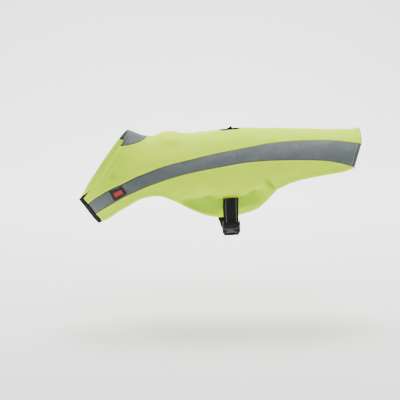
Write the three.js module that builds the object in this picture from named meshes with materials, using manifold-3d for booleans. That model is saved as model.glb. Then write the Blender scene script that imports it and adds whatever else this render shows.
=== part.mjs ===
// A dog's high-visibility vest, fastened as it is worn and hollow inside.
// Millimetres, +Z up, the tail end toward +X, the neck toward -X, the wearer's left side toward -Y.
// The origin is on the inner face of the back panel, on its centre line, where the wearer's back
// holds the vest. A place on the cloth is a station, counted along the back from the neck edge, and
// a turn, in degrees from the centre of the back, positive down the left side.

import * as THREE from 'three';
import { mergeVertices } from 'three/addons/utils/BufferGeometryUtils.js';
import Module from 'manifold-3d';

const CLOTH = 1.2;
const SEAM = 0.3;
const STRIP_INSET = 0.35;
const CHEST_TAPE = 1.2;
const LAYER_GAP = 0.4;
const LABEL = 0.7;
const GIRTH_PER_DEGREE = 1.22;

const COLLAR_PATCH = { depth: 32, turn: 50, endTurn: 48.5, roundness: 1.5, rows: 3 };
const LAP = { fromTurn: 96, toTurn: 119, fullStation: 40, endStation: 78 };
const UNDER_TAPE = { leftTurn: 124, seamTurn: 0.5, neckStation: -2.5, hemStation: 31, columns: 14, rows: 6 };
const LAP_TAPE = { fromTurn: 128, toTurn: 151, fromStation: 2, toStation: 27, columns: 5, rows: 5 };
const SLIT = { firstRib: 12, lastRib: 13, web: 0.9, cover: 2.4, tick: 3.2 };
const WEBBING = { width: 25, thickness: 1.3, foldBack: [9, 20, 30] };

// How the right strap runs round the belly from its panel's hem, before it leaves for the buckle.
const BELLY_RUN = {
  hemX: -33.5,
  hemTurn: -125,
  firstTurn: -131,
  lastTurn: -152,
  stepTurn: 7,
  lowestTurn: -180,
};

// The side-release buckle, along its own length: 0 is its middle, and the left strap joins at -26.
const BUCKLE = {
  x: -29.6,
  turn: 147,
  lift: 4.2,
  slant: 5,
  nearEnd: -26,
  farEnd: 26,
  mouth: -9.6,
  thickness: 8.4,
  baseThickness: 7.6,
  width: 31.6,
  endWidth: 28.4,
  cornerRadius: 2.4,
  edgeRadius: 0.9,
  slotWidth: 26.6,
  barThickness: 2.8,
  nearBar: [-19.5, -16.7],
  nearSlotEnd: -13.1,
  farSlot: [20.5, 23.4],
  socketEnd: 11,
  socketWidth: 22.6,
  socketHeight: 4.6,
  windowStart: 2.2,
  windowEnd: 10.2,
  windowDepth: 10.6,
  barGap: 1,
  prongHeight: 4,
  prongRoot: 1.5,
};

// Half outlines of what the male half pushes into the socket: [along, across].
const TONGUE = [[7, 2.2], [8, 0]];
const PRONG = {
  inner: [[4, 8], [9, 8], [9.5, 11]],
  outer: [[9.2, 14.2], [5.4, 14.2], [3, 10.2]],
  rootInner: 7.4,
  rootOuter: 10.4,
};
const LEFT = 1;
const RIGHT = -1;

const COLOURS = { yellow: 0xddf05a, grey: 0x737a82, black: 0x191b18, buckle: 0x45494a };

function table(columns, rows) {
  return rows.map((row) => Object.fromEntries(columns.map((name, i) => [name, row[i]])));
}

// Cross sections of the hollow, from the neck ring to the tail.
const SECTIONS = table(
  ['station', 'topX', 'topZ', 'lowX', 'lowZ', 'halfWidth', 'square'],
  [
    [0, -206, 1, -289, -120, 52, 2.0],
    [32, -173, -10, -258, -160, 60, 2.0],
    [78, -127, -8, -214, -182, 68, 2.1],
    [122, -83, -7, -146, -188, 72, 2.2],
    [160, -45, -4, -87, -184, 72, 2.2],
    [205, 0, 0, -20, -172, 69, 2.2],
    [265, 60, 0, 52, -159, 66, 2.2],
    [325, 120, -2, 118, -147, 64, 2.2],
    [380, 175, -3, 176, -138, 59, 2.2],
    [404, 199, 1, 200, -134, 55, 2.2],
  ],
);

// Outline of one half. Each rib crosses it from the neck edge, collar patch or centre line, over the
// two seams of the reflective strip, to the hem. Where edgeTurn is over 0, the rib starts at the neck.
const RIBS = table(
  ['steps', 'edge', 'edgeTurn', 'top', 'topTurn', 'low', 'lowTurn', 'hem', 'hemTurn'],
  [
    [0, 32, 153, 7, 154, 19.5, 155, 29, 156],
    [4, 32, 128, 10, 127, 25, 129, 34.5, 143],
    [2, 32, 108, 17, 106.5, 33.5, 110, 45, 120],
    [2, 32, 88, 27, 90.5, 45.5, 96.5, 58, 106],
    [2, 32, 69, 41, 76.5, 63, 87, 71, 97],
    [2, 32, 50, 60, 68, 79, 81, 87, 93],
    [2, 32, 33, 75, 63.3, 91, 77, 99, 93.3],
    [2, 32, 16, 90, 59, 103, 73.5, 113, 96.5],
    [2, 32, 0, 105, 55.8, 116, 70.8, 129, 103],
    [3, 74, 0, 124, 52.2, 133, 68.4, 147, 111],
    [3, 118, 0, 144, 49.4, 151, 66.9, 166, 119.3],
    [3, 162, 0, 165, 47.4, 168.5, 66, 183, 123.3],
    [3, 191, 0, 189, 46.3, 190.5, 65.5, 202, 125],
    [2, 212, 0, 209, 44.7, 209, 65.5, 217.5, 124],
    [2, 232, 0, 228, 42.3, 225, 65.6, 230, 120.3],
    [2, 251, 0, 246, 40, 240, 65.7, 240, 113],
    [2, 270, 0, 265, 38.4, 255, 66, 250, 103.8],
    [2, 289, 0, 285, 37.2, 273, 66.6, 264, 96],
    [2, 311, 0, 307, 36.2, 297, 67.5, 290, 91.3],
    [2, 335, 0, 331, 36.1, 322, 69, 318, 89.4],
    [2, 358, 0, 354, 36.6, 346, 71.5, 345, 87.8],
    [2, 380, 0, 377, 40.5, 367, 76, 367, 86.3],
    [2, 404, 0, 400, 49, 385.5, 82.3, 386, 83.2],
  ],
).map((row, i) => ({ rib: i + 1, ...row }));

const RIGHT_END_RIB = 0.6;
const PATCH_CORNER_RIB = 6;
const CENTRE_RIB = 9;
const STRAP_RIBS = { first: 12, last: 13 };
const LABEL_RIBS = { first: 3, last: 4 };

// How far across its panel each lengthwise line of the mesh lies.
const BACK_LINES = [0, 0.054, 0.2, 0.36, 0.52, 0.68, 0.84, 1];
const STRIP_LINES = [0, 0.23, 0.51, 0.79, 1];
const SIDE_LINES = [0, 0.15, 0.3, 0.45, 0.6, 0.73, 0.87, 1];
const STRAP_TOP_LINE = 4;
const BAR_STEPS = 6;
const BAR_ANGLES = { outer: 115, inner: -75 };

// Creases that stand out of the cloth (height over 0) or sink into it.
const FOLDS = table(
  ['station', 'turn', 'toStation', 'toTurn', 'height', 'reach'],
  [
    [68, -28, 71, 24, 3.2, 12],
    [47, -20, 46, 16, -0.9, 9],
    [176, 96, 143, 88, 3.0, 9],
    [143, 88, 116, 91, 2.4, 9],
    [168, 112, 126, 99, -4.0, 12],
    [200, 99, 227, 93, 2.6, 9],
    [214, 112, 232, 108, -2.6, 10],
    [242, 88, 262, 102, -2.4, 6],
    [250, 84, 268, 99, 2.2, 6],
    [92, 80, 110, 90, 1.6, 7],
    [14, 92, 12, 66, -1.6, 12],
    [180, -97, 150, -90, 2.6, 10],
    [172, -113, 134, -102, -3.4, 12],
    [204, -98, 236, -91, 2.8, 9],
    [222, -111, 238, -106, -2.2, 10],
    [254, -89, 270, -98, -2.0, 7],
    [98, -82, 118, -93, 1.8, 7],
    [20, -88, 14, -60, -1.4, 12],
  ],
);

// A smooth function through one column of a table.
function curve(rows, key, name) {
  const x = rows.map((row) => row[key]);
  const y = rows.map((row) => row[name]);
  const last = x.length - 1;
  const step = (i) => (y[i + 1] - y[i]) / (x[i + 1] - x[i]);
  const slope = x.map((_, i) => {
    if (i === 0) return step(0);
    if (i === last) return step(last - 1);
    const before = x[i] - x[i - 1];
    const after = x[i + 1] - x[i];
    return (step(i - 1) * after + step(i) * before) / (before + after);
  });
  return (at) => {
    if (at <= x[0]) return y[0] + slope[0] * (at - x[0]);
    if (at >= x[last]) return y[last] + slope[last] * (at - x[last]);
    const i = x.findIndex((_, k) => at < x[k + 1]);
    const width = x[i + 1] - x[i];
    const t = (at - x[i]) / width;
    const rise = y[i + 1] - y[i];
    const start = slope[i] * width;
    const end = slope[i + 1] * width;
    return y[i] + start * t + (3 * rise - 2 * start - end) * t ** 2 + (start + end - 2 * rise) * t ** 3;
  };
}

function curves(rows, key) {
  const names = Object.keys(rows[0]).filter((name) => name !== key);
  return Object.fromEntries(names.map((name) => [name, curve(rows, key, name)]));
}

const section = curves(SECTIONS, 'station');
const outline = curves(RIBS, 'rib');

function ramp(value, from, to) {
  return THREE.MathUtils.smoothstep(value, from, to);
}

function hollow(station, turn) {
  const angle = THREE.MathUtils.degToRad(turn);
  const power = 2 / section.square(station);
  const rounded = (value) => Math.sign(value) * Math.abs(value) ** power;
  const up = rounded(Math.cos(angle));
  const out = rounded(Math.sin(angle));
  const top = new THREE.Vector3(section.topX(station), 0, section.topZ(station));
  const low = new THREE.Vector3(section.lowX(station), 0, section.lowZ(station));
  const point = low.lerp(top, (1 + up) / 2);
  point.y = -section.halfWidth(station) * out;
  return point;
}

function outward(station, turn) {
  const along = hollow(station + 0.5, turn).sub(hollow(station - 0.5, turn));
  const around = hollow(station, turn + 0.6).sub(hollow(station, turn - 0.6));
  return around.cross(along).normalize();
}

function foldHeight(station, turn) {
  let height = 0;
  for (const fold of FOLDS) {
    const runX = fold.toStation - fold.station;
    const runY = (fold.toTurn - fold.turn) * GIRTH_PER_DEGREE;
    const x = station - fold.station;
    const y = (turn - fold.turn) * GIRTH_PER_DEGREE;
    const along = THREE.MathUtils.clamp((x * runX + y * runY) / (runX ** 2 + runY ** 2), 0, 1);
    const distance = Math.hypot(x - along * runX, y - along * runY);
    height += fold.height * Math.exp(-((distance / fold.reach) ** 2));
  }
  return height;
}

// A point of a layer that lies against the wearer.
function onWearer(station, turn, lift) {
  const height = lift + foldHeight(station, turn);
  return hollow(station, turn).addScaledVector(outward(station, turn), height);
}

// The left front laps over the tapes of the chest closure, so its cloth climbs over them.
function lapLift(station, turn) {
  const climb = ramp(turn, LAP.fromTurn, LAP.toTurn);
  const fade = 1 - ramp(station, LAP.fullStation, LAP.endStation);
  return (2 * CHEST_TAPE + 2 * LAYER_GAP) * climb * fade;
}

function onCloth(mark, lift) {
  return onWearer(mark.station, mark.turn, lift + lapLift(mark.station, mark.turn));
}

function layer(mark, inner, thickness) {
  return { inner: onCloth(mark, inner), outer: onCloth(mark, inner + thickness) };
}

function collarEdge(turn) {
  const part = Math.min(Math.abs(turn) / COLLAR_PATCH.turn, 1);
  return COLLAR_PATCH.depth * (1 - part ** COLLAR_PATCH.roundness);
}

function blend(a, b, part) {
  return { station: a.station + (b.station - a.station) * part, turn: a.turn + (b.turn - a.turn) * part };
}

// The four outline marks of a rib, in the order from the neck or centre line to the hem.
function ribMarks(rib) {
  const before = RIBS[THREE.MathUtils.clamp(Math.floor(rib), 1, RIBS.length - 1) - 1];
  const after = RIBS[before.rib];
  const straight = before.edgeTurn + (after.edgeTurn - before.edgeTurn) * (rib - before.rib);
  const onCentre = straight <= 0;
  const edge = {
    station: onCentre ? outline.edge(Math.max(rib, CENTRE_RIB)) : collarEdge(straight),
    turn: onCentre ? 0 : straight,
  };
  const top = { station: outline.top(rib), turn: outline.topTurn(rib) };
  const low = { station: outline.low(rib), turn: outline.lowTurn(rib) };
  const hem = { station: outline.hem(rib), turn: outline.hemTurn(rib) };
  return { edge, top, low, hem };
}

function ribNumbers(first, last) {
  const numbers = [first];
  for (const row of RIBS) {
    for (let i = 1; i <= row.steps; i += 1) {
      const rib = row.rib - 1 + i / row.steps;
      if (rib > first && rib <= last) numbers.push(rib);
    }
  }
  return numbers;
}

// Marks of one panel: a row for each rib, a column for each lengthwise line.
function panelMarks(side, from, to, lines, inset = 0, first = 1, last = RIBS.length) {
  return ribNumbers(first, last).map((rib) => {
    const marks = ribMarks(rib);
    const length = hollow(marks[from].station, marks[from].turn)
      .distanceTo(hollow(marks[to].station, marks[to].turn));
    const row = lines.map((line) => {
      const mark = blend(marks[from], marks[to], inset / length + line * (1 - 2 * inset / length));
      return { station: mark.station, turn: mark.turn * side };
    });
    return side === LEFT ? row : row.reverse();
  });
}

// Builds a wall from grids of paired inner and outer points. Grids that share points are sewn into one.
function wall(grids) {
  const pairs = [];
  const known = new Map();
  const cells = [];
  const number = (pair) => {
    const key = pair.outer.toArray().map((value) => Math.round(value * 1000)).join(' ');
    if (!known.has(key)) {
      known.set(key, pairs.length);
      pairs.push(pair);
    }
    return known.get(key);
  };
  for (const grid of grids) {
    for (let i = 0; i + 1 < grid.length; i += 1) {
      for (let j = 0; j + 1 < grid[i].length; j += 1) {
        cells.push([grid[i][j], grid[i][j + 1], grid[i + 1][j + 1], grid[i + 1][j]].map(number));
      }
    }
  }

  const count = pairs.length;
  const triangles = [];
  const edges = new Set();
  for (const [a, b, c, d] of cells) {
    const point = (i) => pairs[i].outer;
    const shortest = point(a).distanceTo(point(c)) <= point(b).distanceTo(point(d));
    const halves = shortest ? [[a, b, c], [a, c, d]] : [[a, b, d], [b, c, d]];
    for (const [p, q, r] of halves) triangles.push([p, q, r], [r + count, q + count, p + count]);
    for (const [p, q] of [[a, b], [b, c], [c, d], [d, a]]) edges.add(`${p} ${q}`);
  }
  for (const edge of edges) {
    const [p, q] = edge.split(' ').map(Number);
    if (!edges.has(`${q} ${p}`)) triangles.push([q, p, p + count], [q, p + count, q + count]);
  }

  const geometry = new THREE.BufferGeometry();
  const points = [...pairs.map((pair) => pair.outer), ...pairs.map((pair) => pair.inner)];
  geometry.setAttribute('position', new THREE.Float32BufferAttribute(points.flatMap((p) => p.toArray()), 3));
  geometry.setIndex(triangles.flat());
  return geometry;
}

const group = new THREE.Group();

function add(name, geometry, colour, roughness) {
  geometry.computeVertexNormals();
  const material = new THREE.MeshStandardMaterial({ color: colour, roughness, metalness: 0 });
  const mesh = new THREE.Mesh(geometry, material);
  mesh.name = name;
  group.add(mesh);
}

function layers(marks, inner, thickness) {
  return marks.map((row) => row.map((mark) => layer(mark, inner, thickness)));
}

// The slit for the leash is the cells between two ribs that touch the centre line.
function withoutSlit(marks, side) {
  const ribs = ribNumbers(side === LEFT ? 1 : RIGHT_END_RIB, RIBS.length);
  const first = ribs.indexOf(SLIT.firstRib);
  const last = ribs.indexOf(SLIT.lastRib);
  const besideSlit = (row) => (side === LEFT ? row.slice(1) : row.slice(0, -1));
  const middle = marks.slice(first, last + 1).map(besideSlit);
  return [marks.slice(0, first + 1), middle, marks.slice(last)];
}

function backPanel() {
  const left = panelMarks(LEFT, 'edge', 'top', BACK_LINES);
  const right = panelMarks(RIGHT, 'edge', 'top', BACK_LINES, 0, RIGHT_END_RIB);
  const parts = [...withoutSlit(left, LEFT), ...withoutSlit(right, RIGHT)];
  return wall(parts.map((marks) => layers(marks, 0, CLOTH)));
}

function collarPatch() {
  const turns = ribNumbers(PATCH_CORNER_RIB, CENTRE_RIB).map((rib) => ribMarks(rib).edge.turn);
  turns[0] = COLLAR_PATCH.endTurn;
  const across = [...turns.map((turn) => -turn), ...turns.slice(0, -1).reverse()];
  const marks = [];
  for (let i = 0; i <= COLLAR_PATCH.rows; i += 1) {
    marks.push(across.map((turn) => ({
      station: (collarEdge(turn) - STRIP_INSET) * (i / COLLAR_PATCH.rows),
      turn,
    })));
  }
  return wall([layers(marks, 0, CLOTH)]);
}

function reflectiveStrip(side) {
  const first = side === LEFT ? 1 : RIGHT_END_RIB;
  const marks = panelMarks(side, 'top', 'low', STRIP_LINES, STRIP_INSET, first);
  return wall([layers(marks, 0, CLOTH)]);
}

function sidePanel(side) {
  const first = side === LEFT ? 1 : RIGHT_END_RIB;
  return wall([layers(panelMarks(side, 'low', 'hem', SIDE_LINES, 0, first), 0, CLOTH)]);
}

function labelPatch() {
  const { first, last } = LABEL_RIBS;
  const marks = panelMarks(LEFT, 'top', 'low', STRIP_LINES, STRIP_INSET, first, last);
  return wall([layers(marks.map((row) => row.slice(1, 4)), CLOTH + SEAM, LABEL)]);
}

// The tape on the right front's end passes round the chest and in under the left front.
function underTape() {
  const end = ribMarks(RIGHT_END_RIB);
  const outlineMarks = [end.edge, end.top, end.low, end.hem];
  const marks = [];
  for (let i = 0; i <= UNDER_TAPE.rows; i += 1) {
    const part = i / UNDER_TAPE.rows;
    const at = Math.min(Math.floor(part * 3), 2);
    const sewn = blend(outlineMarks[at], outlineMarks[at + 1], part * 3 - at);
    const left = {
      station: THREE.MathUtils.lerp(UNDER_TAPE.neckStation, UNDER_TAPE.hemStation, part),
      turn: UNDER_TAPE.leftTurn,
    };
    const right = { station: sewn.station, turn: 360 - sewn.turn - UNDER_TAPE.seamTurn };
    const row = [];
    for (let j = 0; j <= UNDER_TAPE.columns; j += 1) row.push(blend(left, right, j / UNDER_TAPE.columns));
    marks.push(row);
  }
  const pair = (mark) => ({
    inner: onWearer(mark.station, mark.turn, 0),
    outer: onWearer(mark.station, mark.turn, CHEST_TAPE),
  });
  return wall([marks.map((row) => row.map(pair))]);
}

// The mating tape, sewn inside the left front.
function lapTape() {
  const marks = [];
  for (let i = 0; i <= LAP_TAPE.rows; i += 1) {
    const row = [];
    for (let j = 0; j <= LAP_TAPE.columns; j += 1) {
      row.push({
        station: THREE.MathUtils.lerp(LAP_TAPE.fromStation, LAP_TAPE.toStation, i / LAP_TAPE.rows),
        turn: THREE.MathUtils.lerp(LAP_TAPE.fromTurn, LAP_TAPE.toTurn, j / LAP_TAPE.columns),
      });
    }
    marks.push(row);
  }
  return wall([layers(marks, -CHEST_TAPE - LAYER_GAP, CHEST_TAPE)]);
}

// The binding of the leash slit, a channel folded over the cut edge of the cloth all round.
function slitBinding() {
  const beside = (side, rib) => {
    const marks = ribMarks(rib);
    const mark = blend(marks.edge, marks.top, BACK_LINES[1]);
    return { station: mark.station, turn: mark.turn * side };
  };
  const ribs = ribNumbers(SLIT.firstRib, SLIT.lastRib);
  const path = [
    ...ribs.map((rib) => beside(LEFT, rib)),
    ribMarks(SLIT.lastRib).edge,
    ...ribs.reverse().map((rib) => beside(RIGHT, rib)),
    ribMarks(SLIT.firstRib).edge,
  ];
  const outerFace = CLOTH + SEAM + SLIT.web;
  const channel = [
    [SLIT.cover, outerFace],
    [-SEAM - SLIT.web, outerFace],
    [-SEAM - SLIT.web, -SEAM - SLIT.web],
    [SLIT.cover, -SEAM - SLIT.web],
    [SLIT.cover, -SEAM],
    [-SEAM, -SEAM],
    [-SEAM, CLOTH + SEAM],
    [SLIT.cover, CLOTH + SEAM],
  ];
  const points = path.map((mark) => onWearer(mark.station, mark.turn, 0));
  const rings = points.map((point, i) => {
    const before = point.clone().sub(points.at(i - 1)).normalize();
    const after = points[(i + 1) % points.length].clone().sub(point).normalize();
    const up = outward(path[i].station, path[i].turn);
    const mitre = before.clone().add(after).normalize().cross(up).normalize();
    const reach = 1 / Math.max(mitre.dot(before.clone().cross(up).normalize()), 0.5);
    const tick = path[i].turn < 0 && i === ribs.length + 3 ? SLIT.tick : 0;
    return channel.map(([away, high]) => {
      const raised = high > CLOTH && away < 0 ? high + tick : high;
      return point.clone().addScaledVector(mitre, away * reach).addScaledVector(up, raised);
    });
  });
  return loop(rings);
}

// A closed ring of equal sections, each joined to the next and the last to the first.
function loop(rings) {
  const size = rings[0].length;
  const triangles = [];
  for (let i = 0; i < rings.length; i += 1) {
    const here = i * size;
    const next = ((i + 1) % rings.length) * size;
    for (let k = 0; k < size; k += 1) {
      const l = (k + 1) % size;
      triangles.push([here + k, next + k, next + l], [here + k, next + l, here + l]);
    }
  }
  const geometry = new THREE.BufferGeometry();
  const points = rings.flat().flatMap((p) => p.toArray());
  geometry.setAttribute('position', new THREE.Float32BufferAttribute(points, 3));
  geometry.setIndex(triangles.flat());
  return geometry;
}

// The buckle's own frame: x along the straps, y toward the tail, z away from the wearer.
const buckleFrame = (() => {
  const station = stationAtX(BUCKLE.x, BUCKLE.turn);
  const seat = hollow(station, BUCKLE.turn);
  const away = outward(station, BUCKLE.turn).setX(0).normalize();
  const tail = new THREE.Vector3(1, 0, 0).applyAxisAngle(away, THREE.MathUtils.degToRad(BUCKLE.slant));
  const along = tail.clone().cross(away);
  const frame = new THREE.Matrix4().makeBasis(along, tail, away);
  return frame.setPosition(seat.addScaledVector(away, BUCKLE.lift).setX(BUCKLE.x));
})();

function stationAtX(x, turn) {
  let [low, high] = [SECTIONS[0].station, SECTIONS.at(-1).station];
  for (let i = 0; i < 40; i += 1) {
    const middle = (low + high) / 2;
    if (hollow(middle, turn).x < x) low = middle;
    else high = middle;
  }
  return (low + high) / 2;
}

// Where the points of a row of webbing lie across its width.
const ACROSS_WEBBING = [-1 / 2, -1 / 6, 1 / 6, 1 / 2];

// A row of webbing whose middle is at a point of the buckle's lengthwise plane.
function webbingRow(point, faces, side, shift = 0) {
  const half = WEBBING.thickness / 2;
  const face = (y, reach) => (
    new THREE.Vector3(point.x + faces.x * reach, y, point.y + faces.y * reach).applyMatrix4(buckleFrame)
  );
  return ACROSS_WEBBING.map((part) => {
    const y = shift - part * WEBBING.width * side;
    return { outer: face(y, half), inner: face(y, -half) };
  });
}

const barRadius = BUCKLE.barThickness / 2 + BUCKLE.barGap + WEBBING.thickness / 2;

// The turn of webbing round a bar, from its outer layer through the slot to its inner layer.
function roundBar(barX, towards, side, fromAngle, toAngle) {
  const rows = [];
  for (let i = 0; i <= BAR_STEPS; i += 1) {
    const angle = THREE.MathUtils.lerp(fromAngle, toAngle, i / BAR_STEPS);
    const turn = THREE.MathUtils.degToRad(angle);
    const faces = new THREE.Vector2(Math.cos(turn) * towards, Math.sin(turn));
    const point = faces.clone().multiplyScalar(barRadius).add(new THREE.Vector2(barX, 0));
    rows.push(webbingRow(point, faces, side));
  }
  return rows;
}

function strapRowsOnPanel(side, inner) {
  const { first, last } = STRAP_RIBS;
  const ribs = panelMarks(side, 'low', 'hem', SIDE_LINES, 0, first, last);
  if (side === RIGHT) ribs.forEach((rib) => rib.reverse());
  if (side === LEFT) ribs.reverse();
  const rows = [];
  for (let line = STRAP_TOP_LINE; line < SIDE_LINES.length; line += 1) {
    rows.push(ribs.map((rib) => layer(rib[line], inner, WEBBING.thickness)));
  }
  return rows;
}

// The left strap is doubled: it runs down the panel, round the bar of the buckle and back up inside.
function leftStrap() {
  const barX = (BUCKLE.nearBar[0] + BUCKLE.nearBar[1]) / 2;
  const first = CLOTH + SEAM;
  const second = first + WEBBING.thickness + SEAM;
  const turnedOver = ({ inner, outer }) => ({ inner: outer, outer: inner });
  const innerLayer = strapRowsOnPanel(LEFT, first).reverse().map((row) => row.map(turnedOver));
  return wall([[
    ...strapRowsOnPanel(LEFT, second),
    ...roundBar(barX, 1, 1, BAR_ANGLES.outer, BAR_ANGLES.inner),
    ...innerLayer,
  ]]);
}

// The right strap passes under the belly to the far bar, and its end is folded back and sewn down.
function rightStrap() {
  const lift = CLOTH + SEAM;
  const rows = strapRowsOnPanel(RIGHT, lift);
  const { hemX, hemTurn, firstTurn, lastTurn, stepTurn, lowestTurn } = BELLY_RUN;
  for (let turn = firstTurn; turn >= lastTurn; turn -= stepTurn) {
    const middleX = THREE.MathUtils.mapLinear(turn, hemTurn, lowestTurn, hemX, BUCKLE.x);
    rows.push(ACROSS_WEBBING.map((part) => {
      const station = stationAtX(middleX + part * WEBBING.width, turn);
      return layer({ station, turn }, lift, WEBBING.thickness);
    }));
  }

  // From there it runs straight to the bar and meets the turn round it without a bend.
  const bar = new THREE.Vector2((BUCKLE.farSlot[1] + BUCKLE.farEnd) / 2, 0);
  const leaving = rows.at(-1);
  const middle = leaving[0].outer.clone().add(leaving.at(-1).inner).multiplyScalar(0.5);
  middle.applyMatrix4(buckleFrame.clone().invert());
  const away = new THREE.Vector2(middle.x, middle.z).sub(bar);
  const slope = away.angle() - Math.asin(barRadius / away.length());
  const along = new THREE.Vector2(Math.cos(slope), Math.sin(slope));
  const faces = new THREE.Vector2(-along.y, along.x);
  const start = bar.clone().addScaledVector(faces, barRadius);
  const length = Math.sqrt(away.lengthSq() - barRadius ** 2);
  const at = (distance, drop) => start.clone().addScaledVector(along, distance).addScaledVector(faces, -drop);
  const shiftAt = (distance) => middle.y * (distance / length);
  for (const distance of [0.75, 0.5, 0.25].map((part) => part * length)) {
    rows.push(webbingRow(at(distance, 0), faces, -1, shiftAt(distance)));
  }
  const leavesAt = 90 - THREE.MathUtils.radToDeg(Math.atan2(along.y, along.x));
  const turned = roundBar(bar.x, -1, -1, leavesAt, leavesAt - 180);
  const folded = WEBBING.foldBack.map((distance) => (
    webbingRow(at(distance, WEBBING.thickness + SEAM), faces.clone().negate(), -1, shiftAt(distance))
  ));
  return wall([[...rows, ...turned, ...folded]]);
}

const wasm = await Module();
wasm.setup();

function toSolid(geometry) {
  const plain = geometry.index ? geometry.toNonIndexed() : geometry;
  const bare = new THREE.BufferGeometry();
  bare.setAttribute('position', plain.attributes.position);
  const merged = mergeVertices(bare, 1e-4);
  return new wasm.Manifold(new wasm.Mesh({
    numProp: 3,
    vertProperties: new Float32Array(merged.attributes.position.array),
    triVerts: new Uint32Array(merged.index.array),
  }));
}

function toGeometry(solid) {
  const mesh = solid.getMesh();
  const geometry = new THREE.BufferGeometry();
  geometry.setAttribute('position', new THREE.BufferAttribute(mesh.vertProperties, 3));
  geometry.setIndex(new THREE.BufferAttribute(mesh.triVerts, 1));
  return geometry;
}

function block(fromX, toX, fromY, toY, fromZ, toZ) {
  const box = new THREE.BoxGeometry(toX - fromX, toY - fromY, toZ - fromZ);
  return toSolid(box.translate((fromX + toX) / 2, (fromY + toY) / 2, (fromZ + toZ) / 2));
}

// A half of the buckle before it is cut: its sides bulge, and its corners and edges are rounded.
function barrel(fromX, toX, thickness, bulge) {
  const edge = BUCKLE.edgeRadius;
  const end = BUCKLE.endWidth / 2 - edge;
  const radius = BUCKLE.cornerRadius;
  const [near, far] = [fromX + edge, toX - edge];
  const shape = new THREE.Shape();
  shape.moveTo(near + radius, -end);
  shape.quadraticCurveTo((near + far) / 2, -end - 2 * bulge, far - radius, -end);
  shape.quadraticCurveTo(far, -end, far, -end + radius);
  shape.lineTo(far, end - radius);
  shape.quadraticCurveTo(far, end, far - radius, end);
  shape.quadraticCurveTo((near + far) / 2, end + 2 * bulge, near + radius, end);
  shape.quadraticCurveTo(near, end, near, end - radius);
  shape.lineTo(near, -end + radius);
  shape.quadraticCurveTo(near, -end, near + radius, -end);
  const body = new THREE.ExtrudeGeometry(shape, {
    depth: thickness - 2 * edge,
    curveSegments: 5,
    bevelThickness: edge,
    bevelSize: edge,
    bevelSegments: 2,
  });
  return toSolid(body.translate(0, 0, edge - thickness / 2));
}

function cutBetween(fromX, toX, halfWidth, fromZ, toZ) {
  return block(fromX, toX, -halfWidth, halfWidth, fromZ, toZ);
}

function femaleHalf() {
  const { farSlot, farEnd, mouth, slotWidth, thickness, barThickness } = BUCKLE;
  const half = slotWidth / 2;
  const high = thickness;
  const socket = { halfWidth: BUCKLE.socketWidth / 2, halfHeight: BUCKLE.socketHeight / 2 };
  let body = barrel(mouth, farEnd, thickness, (BUCKLE.width - BUCKLE.endWidth) / 2);
  body = body.subtract(cutBetween(farSlot[0], farSlot[1], half, -high, high));
  body = body.subtract(cutBetween(farSlot[0], farEnd + 1, half, barThickness / 2, high));
  body = body.subtract(cutBetween(farSlot[0], farEnd + 1, half, -high, -barThickness / 2));
  body = body.subtract(
    cutBetween(mouth - 1, BUCKLE.socketEnd, socket.halfWidth, -socket.halfHeight, socket.halfHeight),
  );
  const { windowStart, windowEnd, windowDepth, width } = BUCKLE;
  body = body.subtract(block(windowStart, windowEnd, windowDepth, width, -high, high));
  body = body.subtract(block(windowStart, windowEnd, -width, -windowDepth, -high, high));
  return toGeometry(body);
}

function maleHalf() {
  const { nearEnd, mouth, baseThickness, barThickness, nearSlotEnd, prongHeight } = BUCKLE;
  const [barStart, barEnd] = BUCKLE.nearBar;
  const half = BUCKLE.slotWidth / 2;
  const high = baseThickness;
  let body = barrel(nearEnd, mouth - SEAM, baseThickness, 1.1);
  body = body.subtract(cutBetween(nearEnd - 1, barStart, half, -high, high));
  body = body.subtract(cutBetween(barStart, barEnd, half, barThickness / 2, high));
  body = body.subtract(cutBetween(barStart, barEnd, half, -high, -barThickness / 2));
  body = body.subtract(cutBetween(barEnd, nearSlotEnd, half, -high, high));

  const root = mouth - BUCKLE.prongRoot;
  const [shoulder, tip] = TONGUE;
  const tongue = new THREE.Shape();
  tongue.moveTo(root, -shoulder[1]);
  tongue.lineTo(shoulder[0], -shoulder[1]);
  tongue.lineTo(...tip);
  tongue.lineTo(...shoulder);
  tongue.lineTo(root, shoulder[1]);
  const arm = new THREE.Shape();
  arm.moveTo(root, PRONG.rootInner);
  arm.lineTo(...PRONG.inner[0]);
  arm.quadraticCurveTo(...PRONG.inner[1], ...PRONG.inner[2]);
  arm.quadraticCurveTo(...PRONG.outer[0], ...PRONG.outer[1]);
  arm.lineTo(...PRONG.outer[2]);
  arm.lineTo(root, PRONG.rootOuter);
  for (const [shape, mirrored] of [[tongue, false], [arm, false], [arm, true]]) {
    const settings = { depth: prongHeight, bevelEnabled: false, curveSegments: 4 };
    const flat = new THREE.ExtrudeGeometry(shape, settings);
    flat.translate(0, 0, -prongHeight / 2);
    const prong = toSolid(mirrored ? flat.rotateX(Math.PI) : flat);
    body = body.add(prong);
  }
  return toGeometry(body);
}

function addBuckle(name, geometry) {
  geometry.applyMatrix4(buckleFrame);
  add(name, geometry, COLOURS.buckle, 0.5);
}

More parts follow.
